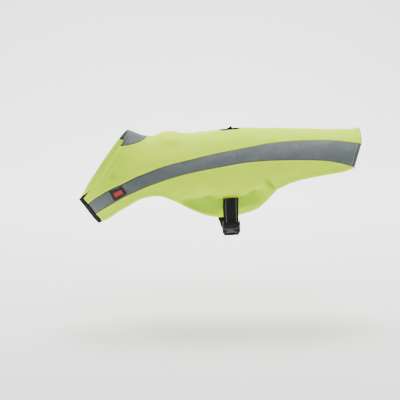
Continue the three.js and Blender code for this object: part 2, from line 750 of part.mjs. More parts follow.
add('back_panel', backPanel(), COLOURS.yellow, 0.6);
add('collar_patch', collarPatch(), COLOURS.grey, 0.45);
add('strip_left', reflectiveStrip(LEFT), COLOURS.grey, 0.45);
add('strip_right', reflectiveStrip(RIGHT), COLOURS.grey, 0.45);
add('side_left', sidePanel(LEFT), COLOURS.yellow, 0.6);
add('side_right', sidePanel(RIGHT), COLOURS.yellow, 0.6);
add('chest_tape_under', underTape(), COLOURS.black, 0.9);
add('chest_tape_lap', lapTape(), COLOURS.black, 0.9);
add('slit_binding', slitBinding(), COLOURS.black, 0.8);
add('label_patch', labelPatch(), COLOURS.black, 0.7);
add('strap_left', leftStrap(), COLOURS.black, 0.85);
add('strap_right', rightStrap(), COLOURS.black, 0.85);
addBuckle('buckle_female', femaleHalf());
addBuckle('buckle_male', maleHalf());

export default group;
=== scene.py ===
"""A dog's high-visibility vest: its cloth, sewing, webbing and buckle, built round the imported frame.

Everything is in metres, with +Z up, the tail end toward +X and the wearer's left side toward -Y.
A place on the cloth is a station, counted along the back from the neck edge, and a turn, in degrees
from the centre of the back, positive down the left side.
"""

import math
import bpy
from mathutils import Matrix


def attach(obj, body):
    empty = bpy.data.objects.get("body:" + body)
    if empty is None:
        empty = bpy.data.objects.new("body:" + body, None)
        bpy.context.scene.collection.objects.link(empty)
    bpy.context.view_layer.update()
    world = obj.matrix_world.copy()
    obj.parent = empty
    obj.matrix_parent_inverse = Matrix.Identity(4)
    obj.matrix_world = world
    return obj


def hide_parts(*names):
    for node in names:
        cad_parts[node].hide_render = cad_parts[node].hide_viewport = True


bl_info = {
    "name": "Dog safety vest",
    "version": (1, 0, 0),
    "blender": (4, 5, 0),
    "location": "3D View > Sidebar > Vest",
    "description": "Builds a fastened high-visibility dog vest piece by piece",
    "category": "Add Mesh",
}

import bmesh
import bpy
import numpy as np
from bpy.props import FloatProperty, FloatVectorProperty, IntProperty, PointerProperty
from mathutils import Matrix, Vector
from mathutils.bvhtree import BVHTree

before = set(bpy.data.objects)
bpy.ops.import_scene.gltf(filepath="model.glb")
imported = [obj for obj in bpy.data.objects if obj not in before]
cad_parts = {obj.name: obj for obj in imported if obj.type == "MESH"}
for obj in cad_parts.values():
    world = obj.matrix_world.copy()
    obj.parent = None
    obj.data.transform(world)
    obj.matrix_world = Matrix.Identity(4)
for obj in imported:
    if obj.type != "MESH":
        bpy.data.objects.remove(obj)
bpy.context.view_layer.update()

MM = 0.001
LEFT = 1
RIGHT = -1
GIRTH_PER_DEGREE = 1.22 * MM


# ---------------------------------------------------------------- the hollow form and the cut

LENGTHS = {
    "station", "toStation", "topX", "topZ", "lowX", "lowZ", "halfWidth",
    "edge", "top", "low", "hem", "height", "reach",
}


def table(names, rows):
    """The named columns of a table as arrays. Its lengths are written in millimetres."""
    columns = np.array(rows, float).T
    pairs = zip(names.split(), columns)
    return {name: column * MM if name in LENGTHS else column for name, column in pairs}


# Cross sections of the hollow, from the neck ring to the tail.
SECTIONS = table("station topX topZ lowX lowZ halfWidth square", [
    [0, -206, 1, -289, -120, 52, 2],
    [32, -173, -10, -258, -160, 60, 2],
    [78, -127, -8, -214, -182, 68, 2.1],
    [122, -83, -7, -146, -188, 72, 2.2],
    [160, -45, -4, -87, -184, 72, 2.2],
    [205, 0, 0, -20, -172, 69, 2.2],
    [265, 60, 0, 52, -159, 66, 2.2],
    [325, 120, -2, 118, -147, 64, 2.2],
    [380, 175, -3, 176, -138, 59, 2.2],
    [404, 199, 1, 200, -134, 55, 2.2],
])

# Outline of one half. Each rib crosses it from the neck edge, collar patch or centre line, over the
# two seams of the reflective strip, to the hem. Where edgeTurn is over 0, the rib starts at the neck.
RIBS = table("edge edgeTurn top topTurn low lowTurn hem hemTurn", [
    [32, 153, 7, 154, 19.5, 155, 29, 156],
    [32, 128, 10, 127, 25, 129, 34.5, 143],
    [32, 108, 17, 106.5, 33.5, 110, 45, 120],
    [32, 88, 27, 90.5, 45.5, 96.5, 58, 106],
    [32, 69, 41, 76.5, 63, 87, 71, 97],
    [32, 50, 60, 68, 79, 81, 87, 93],
    [32, 33, 75, 63.3, 91, 77, 99, 93.3],
    [32, 16, 90, 59, 103, 73.5, 113, 96.5],
    [32, 0, 105, 55.8, 116, 70.8, 129, 103],
    [74, 0, 124, 52.2, 133, 68.4, 147, 111],
    [118, 0, 144, 49.4, 151, 66.9, 166, 119.3],
    [162, 0, 165, 47.4, 168.5, 66, 183, 123.3],
    [191, 0, 189, 46.3, 190.5, 65.5, 202, 125],
    [212, 0, 209, 44.7, 209, 65.5, 217.5, 124],
    [232, 0, 228, 42.3, 225, 65.6, 230, 120.3],
    [251, 0, 246, 40, 240, 65.7, 240, 113],
    [270, 0, 265, 38.4, 255, 66, 250, 103.8],
    [289, 0, 285, 37.2, 273, 66.6, 264, 96],
    [311, 0, 307, 36.2, 297, 67.5, 290, 91.3],
    [335, 0, 331, 36.1, 322, 69, 318, 89.4],
    [358, 0, 354, 36.6, 346, 71.5, 345, 87.8],
    [380, 0, 377, 40.5, 367, 76, 367, 86.3],
    [404, 0, 400, 49, 385.5, 82.3, 386, 83.2],
])
FIRST_RIB = {LEFT: 1.38, RIGHT: 0.6}
FRONT_CORNER = {LEFT: 0.42, RIGHT: 0.0}
PATCH_CORNER_RIB = 6
CENTRE_RIB = 9
SLIT_RIBS = (12, 13)
LAST_RIB = 23
SLIT_HALF = 0.054

# Folds that stand out of the cloth (height over 0) or sink into it, as the frame's solids have them.
FOLDS = table("station turn toStation toTurn height reach", [
    [68, -28, 71, 24, 3.2, 12],
    [47, -20, 46, 16, -0.9, 9],
    [176, 96, 143, 88, 3, 9],
    [143, 88, 116, 91, 2.4, 9],
    [168, 112, 126, 99, -4, 12],
    [200, 99, 227, 93, 2.6, 9],
    [214, 112, 232, 108, -2.6, 10],
    [242, 88, 262, 102, -2.4, 6],
    [250, 84, 268, 99, 2.2, 6],
    [92, 80, 110, 90, 1.6, 7],
    [14, 92, 12, 66, -1.6, 12],
    [180, -97, 150, -90, 2.6, 10],
    [172, -113, 134, -102, -3.4, 12],
    [204, -98, 236, -91, 2.8, 9],
    [222, -111, 238, -106, -2.2, 10],
    [254, -89, 270, -98, -2, 7],
    [98, -82, 118, -93, 1.8, 7],
    [20, -88, 14, -60, -1.4, 12],
])

# Finer creases, sharper than the folds, each strongest at its first end.
CREASES = table("station turn toStation toTurn height reach", [
    [175, 93, 160, 88.5, 1.9, 4],
    [160, 88.5, 143, 85.5, 1.6, 4],
    [143, 85.5, 115, 88, 1.1, 4],
    [176, 100, 158, 94.5, -3.8, 5.5],
    [158, 94.5, 132, 93, -3.2, 5.5],
    [172, 106, 136, 101, -2.8, 8.5],
    [181, 116, 166, 118, 0.7, 3.5],
    [128, 85, 144, 80, 0.6, 4.5],
    [96, 79, 102, 86, 0.6, 2.6],
    [101, 79, 107, 88, -0.6, 2.4],
    [104, 90, 128, 79.5, 1, 3],
    [110, 93.5, 138, 82.5, -1.6, 3.4],
    [118, 93, 131, 90, 0.7, 2.6],
    [198, 96.5, 216, 92.5, 1.8, 4],
    [216, 92.5, 231, 91, 1.4, 4],
    [199, 101.5, 217, 96.5, -3.8, 5.5],
    [217, 96.5, 238, 95.5, -3.4, 5],
    [204, 108, 232, 101, -3.2, 8.5],
    [208, 117, 220, 113, 0.7, 3],
    [233, 85, 246, 93, -1.7, 3.2],
    [246, 93, 256, 99, -1.1, 2.6],
    [240, 82, 250, 90, 1.3, 3.2],
    [228, 88, 240, 97, 0.9, 3.4],
    [236, 108, 246, 102, 0.8, 3.6],
    [203, 87, 217, 79, 0.9, 4.5],
    [217, 79, 243, 78, 0.6, 5],
    [11, 88, 24, 84, -0.8, 4],
    [20, 94, 32, 88, 0.6, 4],
    [34, 100, 46, 90, -0.6, 4.5],
    [70, 30, 96, 44, -0.9, 6],
    [62, -24, 84, -36, -0.9, 6],
    [300, 84, 316, 78, 0.5, 4],
    [364, 54.5, 376, 57, 0.5, 1.7],
    [292, 44, 296, 54, -0.45, 2.8],
    [250, 45, 246, 58, -0.35, 2.6],
    [188, 50, 191, 66, -0.45, 3.2],
    [140, 56, 145, 66, -0.3, 2.4],
    [320, 42, 323, 60, 0.3, 2.6],
    [176, -97, 160, -93, 1.7, 4],
    [160, -93, 138, -90, 1.3, 4],
    [174, -103, 156, -99, -2.4, 5.5],
    [156, -99, 138, -98, -1.7, 5],
    [198, -100, 218, -96, 1.7, 4],
    [200, -106, 219, -102, -2.3, 5.5],
    [106, -94, 122, -86, 0.9, 3.2],
    [112, -98, 127, -91, -0.9, 2.8],
    [236, -88, 250, -96, -1.4, 3.2],
    [244, -84, 258, -92, 1, 3.2],
    [36, -100, 50, -86, -0.6, 4],
    [298, -80, 318, -84, 0.5, 4],
    [340, -66, 352, -60, -0.35, 2.4],
    [270, -46, 266, -60, -0.35, 2.6],
    [210, -50, 214, -63, 0.3, 2.4],
    [150, -54, 154, -65, -0.3, 2.4],
])

# Broad swells across the back, where the cloth stands off it or is drawn down.
SWELLS = table("station turn toStation toTurn height reach", [
    [49, -24, 52, 20, 2.8, 12],
    [65, -27, 67, 23, 1.8, 10],
    [82, -28, 84, 22, 3, 12],
    [130, -30, 133, 26, 1.9, 13],
    [152, -32, 155, 28, 2.2, 14],
    [176, -30, 180, 28, 1.7, 15],
    [200, -28, 204, 24, 1.6, 16],
    [396, -26, 398, 22, -2, 10],
])

# Long slow waves of the cloth: one length and one direction each, so that no two places are alike.
WAVES = [(47, 20, 0.30), (61, -50, 0.26), (29, 75, 0.16), (23, -12, 0.12), (17, 42, 0.07), (13, -66, 0.05)]

PANEL_WIDTHS = {"back": 80 * MM, "side": 60 * MM, "strip": 25 * MM}
COLLAR_PATCH = {
    "depth": 32 * MM, "length": 110 * MM, "roundness": 2.05,
    "turn": 50, "endTurn": 48.5, "hemTurn": 52, "sewnTurn": 47,
}
LAP = {"fromTurn": 96, "toTurn": 119, "fullStation": 40 * MM, "endStation": 78 * MM, "climb": 3.2 * MM}
UNDER_TAPE = {
    "width": 50 * MM, "length": 110 * MM, "leftTurn": 116, "seamTurn": 0.5, "neckStation": 0.0,
    "hemStation": 35.5 * MM, "neckRise": 3.0 * MM, "riseTurns": (118, 150, 172, 200), "hemReach": 1.3 * MM,
}
LAP_TAPE = {"fromTurn": 128, "toTurn": 151, "fromStation": 2 * MM, "toStation": 27 * MM, "lift": -0.4 * MM}
TAPE_THICKNESS = 1.2 * MM
OUTER_FACE = 1.2 * MM
LABEL = {
    "rib": 3.52, "length": 23.5 * MM, "width": 14 * MM, "lift": 0.95 * MM, "wall": 0.6 * MM,
    "stitch": 1.5 * MM, "gap": 0.5 * MM,
}


def curve(x, y):
    """A smooth function through the points of two columns, straight beyond its ends."""
    gap = np.diff(x)
    step = np.diff(y) / gap
    middle = (step[:-1] * gap[1:] + step[1:] * gap[:-1]) / (gap[:-1] + gap[1:])
    slope = np.concatenate([step[:1], middle, step[-1:]])

    def value(at):
        at = np.asarray(at, float)
        i = np.clip(np.searchsorted(x, at, side="right") - 1, 0, len(gap) - 1)
        t = (at - x[i]) / gap[i]
        rise = y[i + 1] - y[i]
        start = slope[i] * gap[i]
        end = slope[i + 1] * gap[i]
        within = y[i] + start * t + (3 * rise - 2 * start - end) * t**2 + (start + end - 2 * rise) * t**3
        before = y[0] + slope[0] * (at - x[0])
        after = y[-1] + slope[-1] * (at - x[-1])
        return np.where(at <= x[0], before, np.where(at >= x[-1], after, within))

    return value


SECTION = {name: curve(SECTIONS["station"], column) for name, column in SECTIONS.items()}
RIB_NUMBERS = np.arange(1, LAST_RIB + 1, dtype=float)
OUTLINE = {name: curve(RIB_NUMBERS, column) for name, column in RIBS.items()}


def hollow(station, turn):
    """Points of the hollow that the wearer fills."""
    angle = np.radians(turn)
    power = 2 / SECTION["square"](station)
    up = np.sign(np.cos(angle)) * np.abs(np.cos(angle)) ** power
    out = np.sign(np.sin(angle)) * np.abs(np.sin(angle)) ** power
    part = (1 + up) / 2
    x = SECTION["lowX"](station) * (1 - part) + SECTION["topX"](station) * part
    z = SECTION["lowZ"](station) * (1 - part) + SECTION["topZ"](station) * part
    return np.stack([x, -SECTION["halfWidth"](station) * out, z], axis=-1)


def unit(vectors):
    return vectors / np.linalg.norm(vectors, axis=-1, keepdims=True)


def outward(station, turn):
    along = hollow(station + 0.5 * MM, turn) - hollow(station - 0.5 * MM, turn)
    around = hollow(station, turn + 0.6) - hollow(station, turn - 0.6)
    return unit(np.cross(around, along))


def along_fold(folds, i, station, turn):
    """How far along fold i each place lies, from 0 to 1, and its distance from the fold."""
    run_x = folds["toStation"][i] - folds["station"][i]
    run_y = (folds["toTurn"][i] - folds["turn"][i]) * GIRTH_PER_DEGREE
    x = station - folds["station"][i]
    y = (turn - folds["turn"][i]) * GIRTH_PER_DEGREE
    part = np.clip((x * run_x + y * run_y) / (run_x**2 + run_y**2), 0, 1)
    return part, np.hypot(x - part * run_x, y - part * run_y)


def fold_height(station, turn, folds=FOLDS, sharpness=2, fade=0.0):
    """Height of a table's folds at each place. Each has lost the share fade of it by its far end."""
    total = np.zeros(np.broadcast(station, turn).shape)
    for i, height in enumerate(folds["height"]):
        part, distance = along_fold(folds, i, station, turn)
        total += height * (1 - fade * part) * np.exp(-((distance / folds["reach"][i]) ** sharpness))
    return total


def crease_height(station, turn):
    return fold_height(station, turn, CREASES, 1.5, 0.75)


def wave_height(station, turn):
    total = np.zeros(np.broadcast(station, turn).shape)
    for i, (length, heading, height) in enumerate(WAVES):
        angle = math.radians(heading)
        run = station * math.cos(angle) + turn * GIRTH_PER_DEGREE * math.sin(angle)
        total += height * MM * np.sin(run / (length * MM) * 2 * math.pi + 1.7 * i)
    return total


def smooth(value, low, high):
    part = np.clip((value - low) / (high - low), 0, 1)
    return part * part * (3 - 2 * part)


def lap_lift(station, turn):
    """The left front laps over the tapes of the chest closure, so its cloth climbs over them."""
    climb = smooth(turn, LAP["fromTurn"], LAP["toTurn"])
    fade = 1 - smooth(station, LAP["fullStation"], LAP["endStation"])
    return LAP["climb"] * climb * fade


def on_wearer(station, turn, lift):
    """Points that lie lift above the hollow, over its folds."""
    height = lift + fold_height(station, turn) + fold_height(station, turn, SWELLS)
    return hollow(station, turn) + outward(station, turn) * height[..., None]


def on_cloth(station, turn, lift):
    """As on_wearer, with the climb of the left front over the tapes that it laps."""
    return on_wearer(station, turn, lift + lap_lift(station, turn))


def collar_edge(turn):
    part = np.minimum(np.abs(turn) / COLLAR_PATCH["turn"], 1)
    return COLLAR_PATCH["depth"] * (1 - part ** COLLAR_PATCH["roundness"])


def rib_mark(name, rib):
    """Station and turn of one of the outline's four lines at a rib: edge, top, low or hem."""
    rib = np.asarray(rib, float)
    if name != "edge":
        return OUTLINE[name](rib), OUTLINE[name + "Turn"](rib)
    first, second = RIBS["edgeTurn"][:2]
    ahead = first + (second - first) * (rib - 1)
    turn = np.maximum(np.where(rib < 1, ahead, np.interp(rib, RIB_NUMBERS, RIBS["edgeTurn"])), 0)
    centre = OUTLINE["edge"](np.maximum(rib, CENTRE_RIB))
    return np.where(turn > 0, collar_edge(turn), centre), turn


def between(near, far, rib, part):
    """Stations and turns a part of the way from one outline line to another."""
    (s0, t0), (s1, t1) = rib_mark(near, rib), rib_mark(far, rib)
    return s0 + (s1 - s0) * part, t0 + (t1 - t0) * part


def run_along(points):
    """How far along a row of points each one lies."""
    return np.concatenate([[0], np.cumsum(np.linalg.norm(np.diff(points, axis=0), axis=1))])


def steps_along(name, stops, spacing):
    """Rib numbers, evenly spaced along an outline line and with every stop among them."""
    numbers = []
    for first, last in zip(stops, stops[1:]):
        fine = np.linspace(first, last, 60)
        length = run_along(hollow(*rib_mark(name, fine)))
        count = max(int(round(length[-1] / spacing)), 2)
        numbers.extend(np.interp(np.linspace(0, length[-1], count + 1)[:-1], length, fine))
    return np.array([*numbers, stops[-1]])


def halved(run):
    return np.unique(np.concatenate([run, (run[1:] + run[:-1]) / 2]))


def finer_at_ends(numbers, cells=4):
    """Splits the first and last few steps, so that a rolled edge has room to curve."""
    middle = numbers[cells + 1 : -cells - 1]
    return np.concatenate([halved(numbers[: cells + 1]), middle, halved(numbers[-cells - 1 :])])


# ---------------------------------------------------------------- distances to seams and edges

class Line:
    """A seam or edge of the cut as a dense row of points, which measures how far other points lie."""

    def __init__(self, station, turn, lift=OUTER_FACE):
        self.station, self.turn = np.broadcast_arrays(station, turn)
        self.points = on_cloth(self.station, self.turn, lift)
        self.run = run_along(self.points)

    def measure(self, points):
        """Distance from the line, and how far along it, for each point of a grid."""
        flat = points.reshape(-1, 3)
        distance = np.full(len(flat), np.inf)
        run = np.zeros(len(flat))
        for i in range(len(self.points) - 1):
            start, end = self.points[i], self.points[i + 1]
            step = end - start
            part = np.clip((flat - start) @ step / (step @ step), 0, 1)
            away = np.linalg.norm(flat - start - part[:, None] * step, axis=1)
            nearer = away < distance
            distance[nearer] = away[nearer]
            run[nearer] = (self.run[i] + part * (self.run[i + 1] - self.run[i]))[nearer]
        return distance.reshape(points.shape[:-1]), run.reshape(points.shape[:-1])


def outline_line(name, first, last, side, count=90):
    station, turn = rib_mark(name, np.linspace(first, last, count))
    return Line(station, turn * side)


def rib_line(near, far, rib, side, slant=0.0, count=24):
    part = np.linspace(0, 1, count)
    station, turn = between(near, far, rib + slant * part, part)
    return Line(station, turn * side)


def bell(distance, reach):
    return np.exp(-((distance / reach) ** 2))


def rolled(distance, reach):
    """1 at an edge, and 0 from reach on."""
    return (1 - np.clip(distance / reach, 0, 1)) ** 2


def pucker(run):
    """Uneven little waves that sewing draws into the cloth along a seam."""
    return 0.5 * np.sin(run / (9.0 * MM) * 2 * math.pi) + 0.5 * np.sin(run / (6.1 * MM) * 2 * math.pi + 1.9)


HEM = 6.5 * MM
SEAM_FOLD = 3.0 * MM
UNDER_DIP = 0.55 * MM


def hem_relief(distance, run):
    """A turned hem: doubled cloth that rolls in at its edge, with a sunk line where it is sewn."""
    doubled = 0.40 * MM * (1 - smooth(distance, HEM + 0.2 * MM, HEM + 1.8 * MM))
    sewn = 0.30 * MM * bell(distance - HEM, 0.8 * MM)
    drawn = 0.16 * MM * pucker(run) * bell(distance - HEM, 3.5 * MM)
    return doubled - 0.75 * MM * rolled(distance, 1.5 * MM) - sewn + drawn


def seam_relief(distance, run):
    """The folded edge of a panel where it lies on the strip."""
    bulge = 0.30 * MM * bell(distance - 2.0 * MM, 1.6 * MM)
    drawn = 0.12 * MM * pucker(run) * bell(distance - SEAM_FOLD, 3.0 * MM)
    return bulge - 0.55 * MM * rolled(distance, 1.2 * MM) + drawn


def under_relief(distance, run):
    """The edge of the strip where it dips under a panel."""
    drawn = 0.10 * MM * pucker(run) * bell(distance, 3.0 * MM)
    return -UNDER_DIP * (1 - smooth(distance, 0.2 * MM, 1.6 * MM)) + drawn


# ---------------------------------------------------------------- meshes

def as_object(name, data):
    made = bpy.data.objects.new(name, data)
    bpy.context.scene.collection.objects.link(made)
    return made


def mesh_from(bm, name):
    mesh = bpy.data.meshes.new(name)
    bm.to_mesh(mesh)
    bm.free()
    mesh.shade_smooth()
    return mesh


def add_grid(bm, points, facing, layers):
    """Adds a bmesh grid and moves its vertices onto a grid of points, with its faces toward facing."""
    rows, columns = points.shape[:2]
    known = len(bm.verts)
    for name in layers:
        if name not in bm.verts.layers.float:
            bm.verts.layers.float.new(name)
    made = bmesh.ops.create_grid(bm, x_segments=columns - 1, y_segments=rows - 1, size=0.5)["verts"]
    bm.verts.index_update()
    flat = points.reshape(-1, 3)
    for name, values in layers.items():
        layer = bm.verts.layers.float[name]
        for vert, value in zip(made, np.broadcast_to(values, points.shape[:2]).reshape(-1)):
            vert[layer] = value
    for vert, point in zip(made, flat):
        vert.co = point
    faces = [face for face in bm.faces if face.verts[0].index >= known]
    middle = faces[len(faces) // 2]
    middle.normal_update()
    nearest = int(np.argmin(np.linalg.norm(flat - np.array(middle.calc_center_median()), axis=1)))
    if middle.normal.dot(Vector(facing.reshape(-1, 3)[nearest])) < 0:
        bmesh.ops.reverse_faces(bm, faces=faces)
    return made


def map_cloth(bm):
    """A UV map in metres, from the grid's along and across layers."""
    along, across = bm.verts.layers.float["along"], bm.verts.layers.float["across"]
    uv = bm.loops.layers.uv.new("cloth")
    for face in bm.faces:
        for loop in face.loops:
            loop[uv].uv = (loop.vert[along], loop.vert[across])


def thicken(piece, thickness, offset=-1.0):
    wall = piece.modifiers.new("wall", "SOLIDIFY")
    wall.thickness = thickness
    wall.offset = offset


def round_edges(piece, width, segments):
    rounding = piece.modifiers.new("edge", "BEVEL")
    rounding.width = width
    rounding.segments = segments
    rounding.limit_method = "ANGLE"
    return rounding


def finish_piece(piece, material, slot, *nodes):
    piece.data.materials.append(material)
    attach(piece, "root")
    if nodes:
        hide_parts(*nodes)
    return piece


class Panel:
    """A grid of places on the cloth, with the relief that its seams, hems and creases give it."""

    def __init__(self, station, turn):
        self.station, self.turn = station, turn
        self.base = on_cloth(station, turn, OUTER_FACE)
        creases = crease_height(station, turn)
        self.fold = fold_height(station, turn) * 0.6 + creases
        self.height = creases + wave_height(station, turn)
        self.calm = np.ones_like(self.height)
        self.relief = np.zeros_like(self.height)
        self.from_sewn = {"seam": np.ones_like(self.height), "hem": np.ones_like(self.height)}

    def sew(self, relief, *lines):
        """Gives lines of the panel their relief. Cloth beside them lies flatter than the open cloth."""
        kind = "hem" if relief is hem_relief else "seam"
        for line in lines:
            distance, run = line.measure(self.base)
            self.calm = np.minimum(self.calm, 0.25 + 0.75 * smooth(distance, 0, 7 * MM))
            self.relief += relief(distance, run)
            self.from_sewn[kind] = np.minimum(self.from_sewn[kind], distance)

    def add_to(self, bm, lift=0.0):
        facing = outward(self.station, self.turn)
        points = self.base + facing * (lift + self.height * self.calm + self.relief)[..., None]
        across = self.turn * GIRTH_PER_DEGREE
        layers = {"along": self.station, "across": across, **self.from_sewn, "fold": self.fold * self.calm}
        return add_grid(bm, points, facing, layers)


EDGE_BAND = 4.0 * MM


def spaced(length, cloth):
    """Parts from 0 to 1 across a panel of about that length, closer together at both ends."""
    edge = np.arange(0, EDGE_BAND + 0.01 * MM, cloth.edge_cell)
    middle = np.linspace(EDGE_BAND, length - EDGE_BAND, max(int(length / cloth.cell), 3))[1:-1]
    return np.concatenate([edge, middle, length - edge[::-1]]) / length


# ---------------------------------------------------------------- finishes

class Value:
    """A socket of a finish, which can be added to, multiplied and so on."""

    def __init__(self, finish, socket):
        self.finish, self.socket = finish, socket

    def math(self, operation, *others):
        return self.finish.node("ShaderNodeMath", {"operation": operation}, [self, *others])

    def __add__(self, other):
        return self.math("ADD", other)

    def __sub__(self, other):
        return self.math("SUBTRACT", other)

    def __rsub__(self, other):
        return self.finish.node("ShaderNodeMath", {"operation": "SUBTRACT"}, [other, self])

    def __mul__(self, other):
        return self.math("MULTIPLY", other)

    def over(self, low, high):
        """0 below low, 1 above high, with a soft step between."""
        ends = {"From Min": low, "From Max": high, "To Min": 0.0, "To Max": 1.0}
        step = {"interpolation_type": "SMOOTHSTEP"}
        return self.finish.node("ShaderNodeMapRange", step, {"Value": self, **ends})

    def near(self, centre, width):
        """1 at centre and 0 beyond width from it."""
        return 1 - (self - centre).math("ABSOLUTE").over(0.0, width)

    def wave(self, pitch):
        """A sine from -1 to 1 of that pitch, in metres."""
        return (self * (2 * math.pi / pitch)).math("SINE")

    def ribs(self, pitch):
        """The same from 0 to 1, for threads that lie side by side."""
        return self.wave(pitch) * 0.5 + 0.5


class Finish:
    """A material's tree of nodes, for one of the vest's surfaces."""

    def __init__(self, name):
        self.material = bpy.data.materials.new(name)
        self.material.use_nodes = True
        self.tree = self.material.node_tree
        self.tree.nodes.clear()

    def plug(self, value, socket):
        """Links a value to a socket, or sets the socket to a number or colour."""
        if isinstance(value, Value):
            self.tree.links.new(value.socket, socket)
        elif isinstance(value, (int, float)):
            socket.default_value = value
        else:
            socket.default_value = (*value, 1)

    def node(self, kind, settings=None, inputs=(), output=0):
        node = self.tree.nodes.new(kind)
        for key, value in (settings or {}).items():
            setattr(node, key, value)
        for key, value in inputs.items() if isinstance(inputs, dict) else enumerate(inputs):
            self.plug(value, node.inputs[key])
        return Value(self, node.outputs[output])

    def place(self):
        return self.node("ShaderNodeTexCoord", output="Object")

    def cloth_map(self):
        """Distances along and across the cloth, in metres."""
        place = self.node("ShaderNodeUVMap", {"uv_map": "cloth"})
        axes = self.node("ShaderNodeSeparateXYZ", inputs=[place]).socket.node.outputs
        return Value(self, axes["X"]), Value(self, axes["Y"])

    def sewn_layers(self):
        """Distances to the nearest seam and hem, and the height of the fold at each place."""
        names = ("seam", "hem", "fold")
        return [self.node("ShaderNodeAttribute", {"attribute_name": name}, output="Fac") for name in names]

    def noise(self, scale, detail, roughness=0.55):
        inputs = {"Vector": self.place(), "Scale": scale, "Detail": detail, "Roughness": roughness}
        return self.node("ShaderNodeTexNoise", inputs=inputs)

    def beads(self, scale):
        inputs = {"Vector": self.place(), "Scale": scale}
        return self.node("ShaderNodeTexVoronoi", inputs=inputs, output="Distance")

    def mix(self, part, first, second):
        """One colour passing into another."""
        node = self.tree.nodes.new("ShaderNodeMix")
        node.data_type = "RGBA"
        self.plug(part, node.inputs[0])
        for value, socket in zip((first, second), (s for s in node.inputs if s.type == "RGBA")):
            self.plug(value, socket)
        return Value(self, next(s for s in node.outputs if s.type == "RGBA"))

    def bump(self, height, strength, distance):
        inputs = {"Height": height, "Strength": strength, "Distance": distance}
        return self.node("ShaderNodeBump", inputs=inputs, output="Normal")

    def surface(self, **sockets):
        """Ends the tree in a Principled shader. Names use _ for spaces."""
        shader = self.tree.nodes.new("ShaderNodeBsdfPrincipled")
        for name, value in sockets.items():
            self.plug(value, shader.inputs[name.replace("_", " ")])
        output = self.tree.nodes.new("ShaderNodeOutputMaterial")
        self.tree.links.new(shader.outputs[0], output.inputs[0])
        return self.material


# The collar patch is a darker copy of the reflective cloth: a painted shade.
COLLAR_SHADE = 0.72


def yellow_finish(name, colours):
    cloth = Finish(name)
    along, across = cloth.cloth_map()
    seam, hem, fold = cloth.sewn_layers()
    base = cloth.mix(cloth.noise(30.0, 3.0).over(0.35, 0.75) * 0.35, colours.yellow, colours.yellow_shade)
    # Painted shade: the cloth turns darker and greener where it sinks in a fold.
    base = cloth.mix((0 - fold).over(0.1 * MM, 2.8 * MM) * 0.95, base, colours.yellow_fold_shade)
    # Painted highlight where the cloth rises in a fold.
    base = cloth.mix(fold.over(0.4 * MM, 2.6 * MM) * 0.45, base, colours.yellow_highlight)
    # Painted highlight along the folded rims beside seams and hems.
    rim_highlight = (seam.near(1.6 * MM, 1.5 * MM) + hem.near(1.2 * MM, 1.4 * MM)) * 0.7
    base = cloth.mix(rim_highlight, base, colours.yellow_highlight)
    # Painted shade along each hem's sunk sewn line and at the very edges of seams and hems.
    stitch_line_shade = hem.near(HEM, 0.9 * MM) * 0.4
    groove_shade = (1 - seam.over(0.0, 0.5 * MM)) * 0.5 + (1 - hem.over(0.0, 0.4 * MM)) * 0.5
    base = cloth.mix((stitch_line_shade + groove_shade).math("MINIMUM", 1.0), base, colours.yellow_groove_shade)
    weave = along.wave(0.7 * MM) * across.wave(0.7 * MM) * 0.5 + 0.5
    nap = cloth.noise(420.0, 2.0)
    return cloth.surface(
        Base_Color=base,
        Roughness=nap * 0.15 + 0.7,
        Normal=cloth.bump(weave * 0.7 + nap * 0.5, 0.35, 0.15 * MM),
        Specular_IOR_Level=0.12,
        # A fixed emission of the cloth's colour, painted shade and highlight included, makes it glow by
        # itself: partly the real glow of fluorescent dye, partly a painted glow that lifts its shade.
        Emission_Color=base,
        Emission_Strength=0.18,
    )


def reflective_finish(name, colours, depth=1.0):
    """Grey cloth of fine glass beads. A depth below 1 darkens it, as a painted shade for the collar patch's
    copy.
    """
    cloth = Finish(name)
    tones = (colours.grey, colours.grey_dark, colours.grey_specks_and_highlight, colours.grey_groove_shade)
    # Of these tones, sewn is a painted shade for folds, grooves and hem bands, and light gives random lighter
    # specks and a painted highlight on crests.
    grey, dark, light, sewn = [[value * depth for value in tone] for tone in tones]
    along, across = cloth.cloth_map()
    seam, hem, fold = cloth.sewn_layers()
    patches = cloth.noise(46.0, 4.0, 0.6).over(0.3, 0.72)
    base = cloth.mix(patches * 0.7, grey, dark)
    base = cloth.mix(cloth.noise(210.0, 3.0).over(0.58, 0.75) * 0.2, base, light)
    # Painted shade where the cloth sinks in a fold.
    base = cloth.mix((0 - fold).over(0.1 * MM, 0.5 * MM) * 0.5, base, sewn)
    # Painted highlight where the cloth rises in a fold.
    base = cloth.mix(fold.over(0.15 * MM, 0.5 * MM) * 0.4, base, light)
    # Painted shade in the grooves where the strip runs in under a panel, and over its hem bands.
    groove_shade = (1 - seam.over(0.3 * MM, 1.7 * MM)) * 0.9 + (1 - hem.over(HEM - 0.8 * MM, HEM)) * 0.35
    base = cloth.mix(groove_shade.math("MINIMUM", 1.0), base, sewn)
    beads = cloth.beads(2600.0)
    weave = along.wave(0.9 * MM) * across.wave(0.9 * MM) * 0.5 + 0.5
    return cloth.surface(
        Base_Color=base,
        Roughness=beads * 0.2 + patches * 0.08 + 0.42,
        Metallic=0.2,
        Normal=cloth.bump(beads * 0.5 + weave * 0.4, 0.3, 0.1 * MM),
        Specular_IOR_Level=0.35,
    )


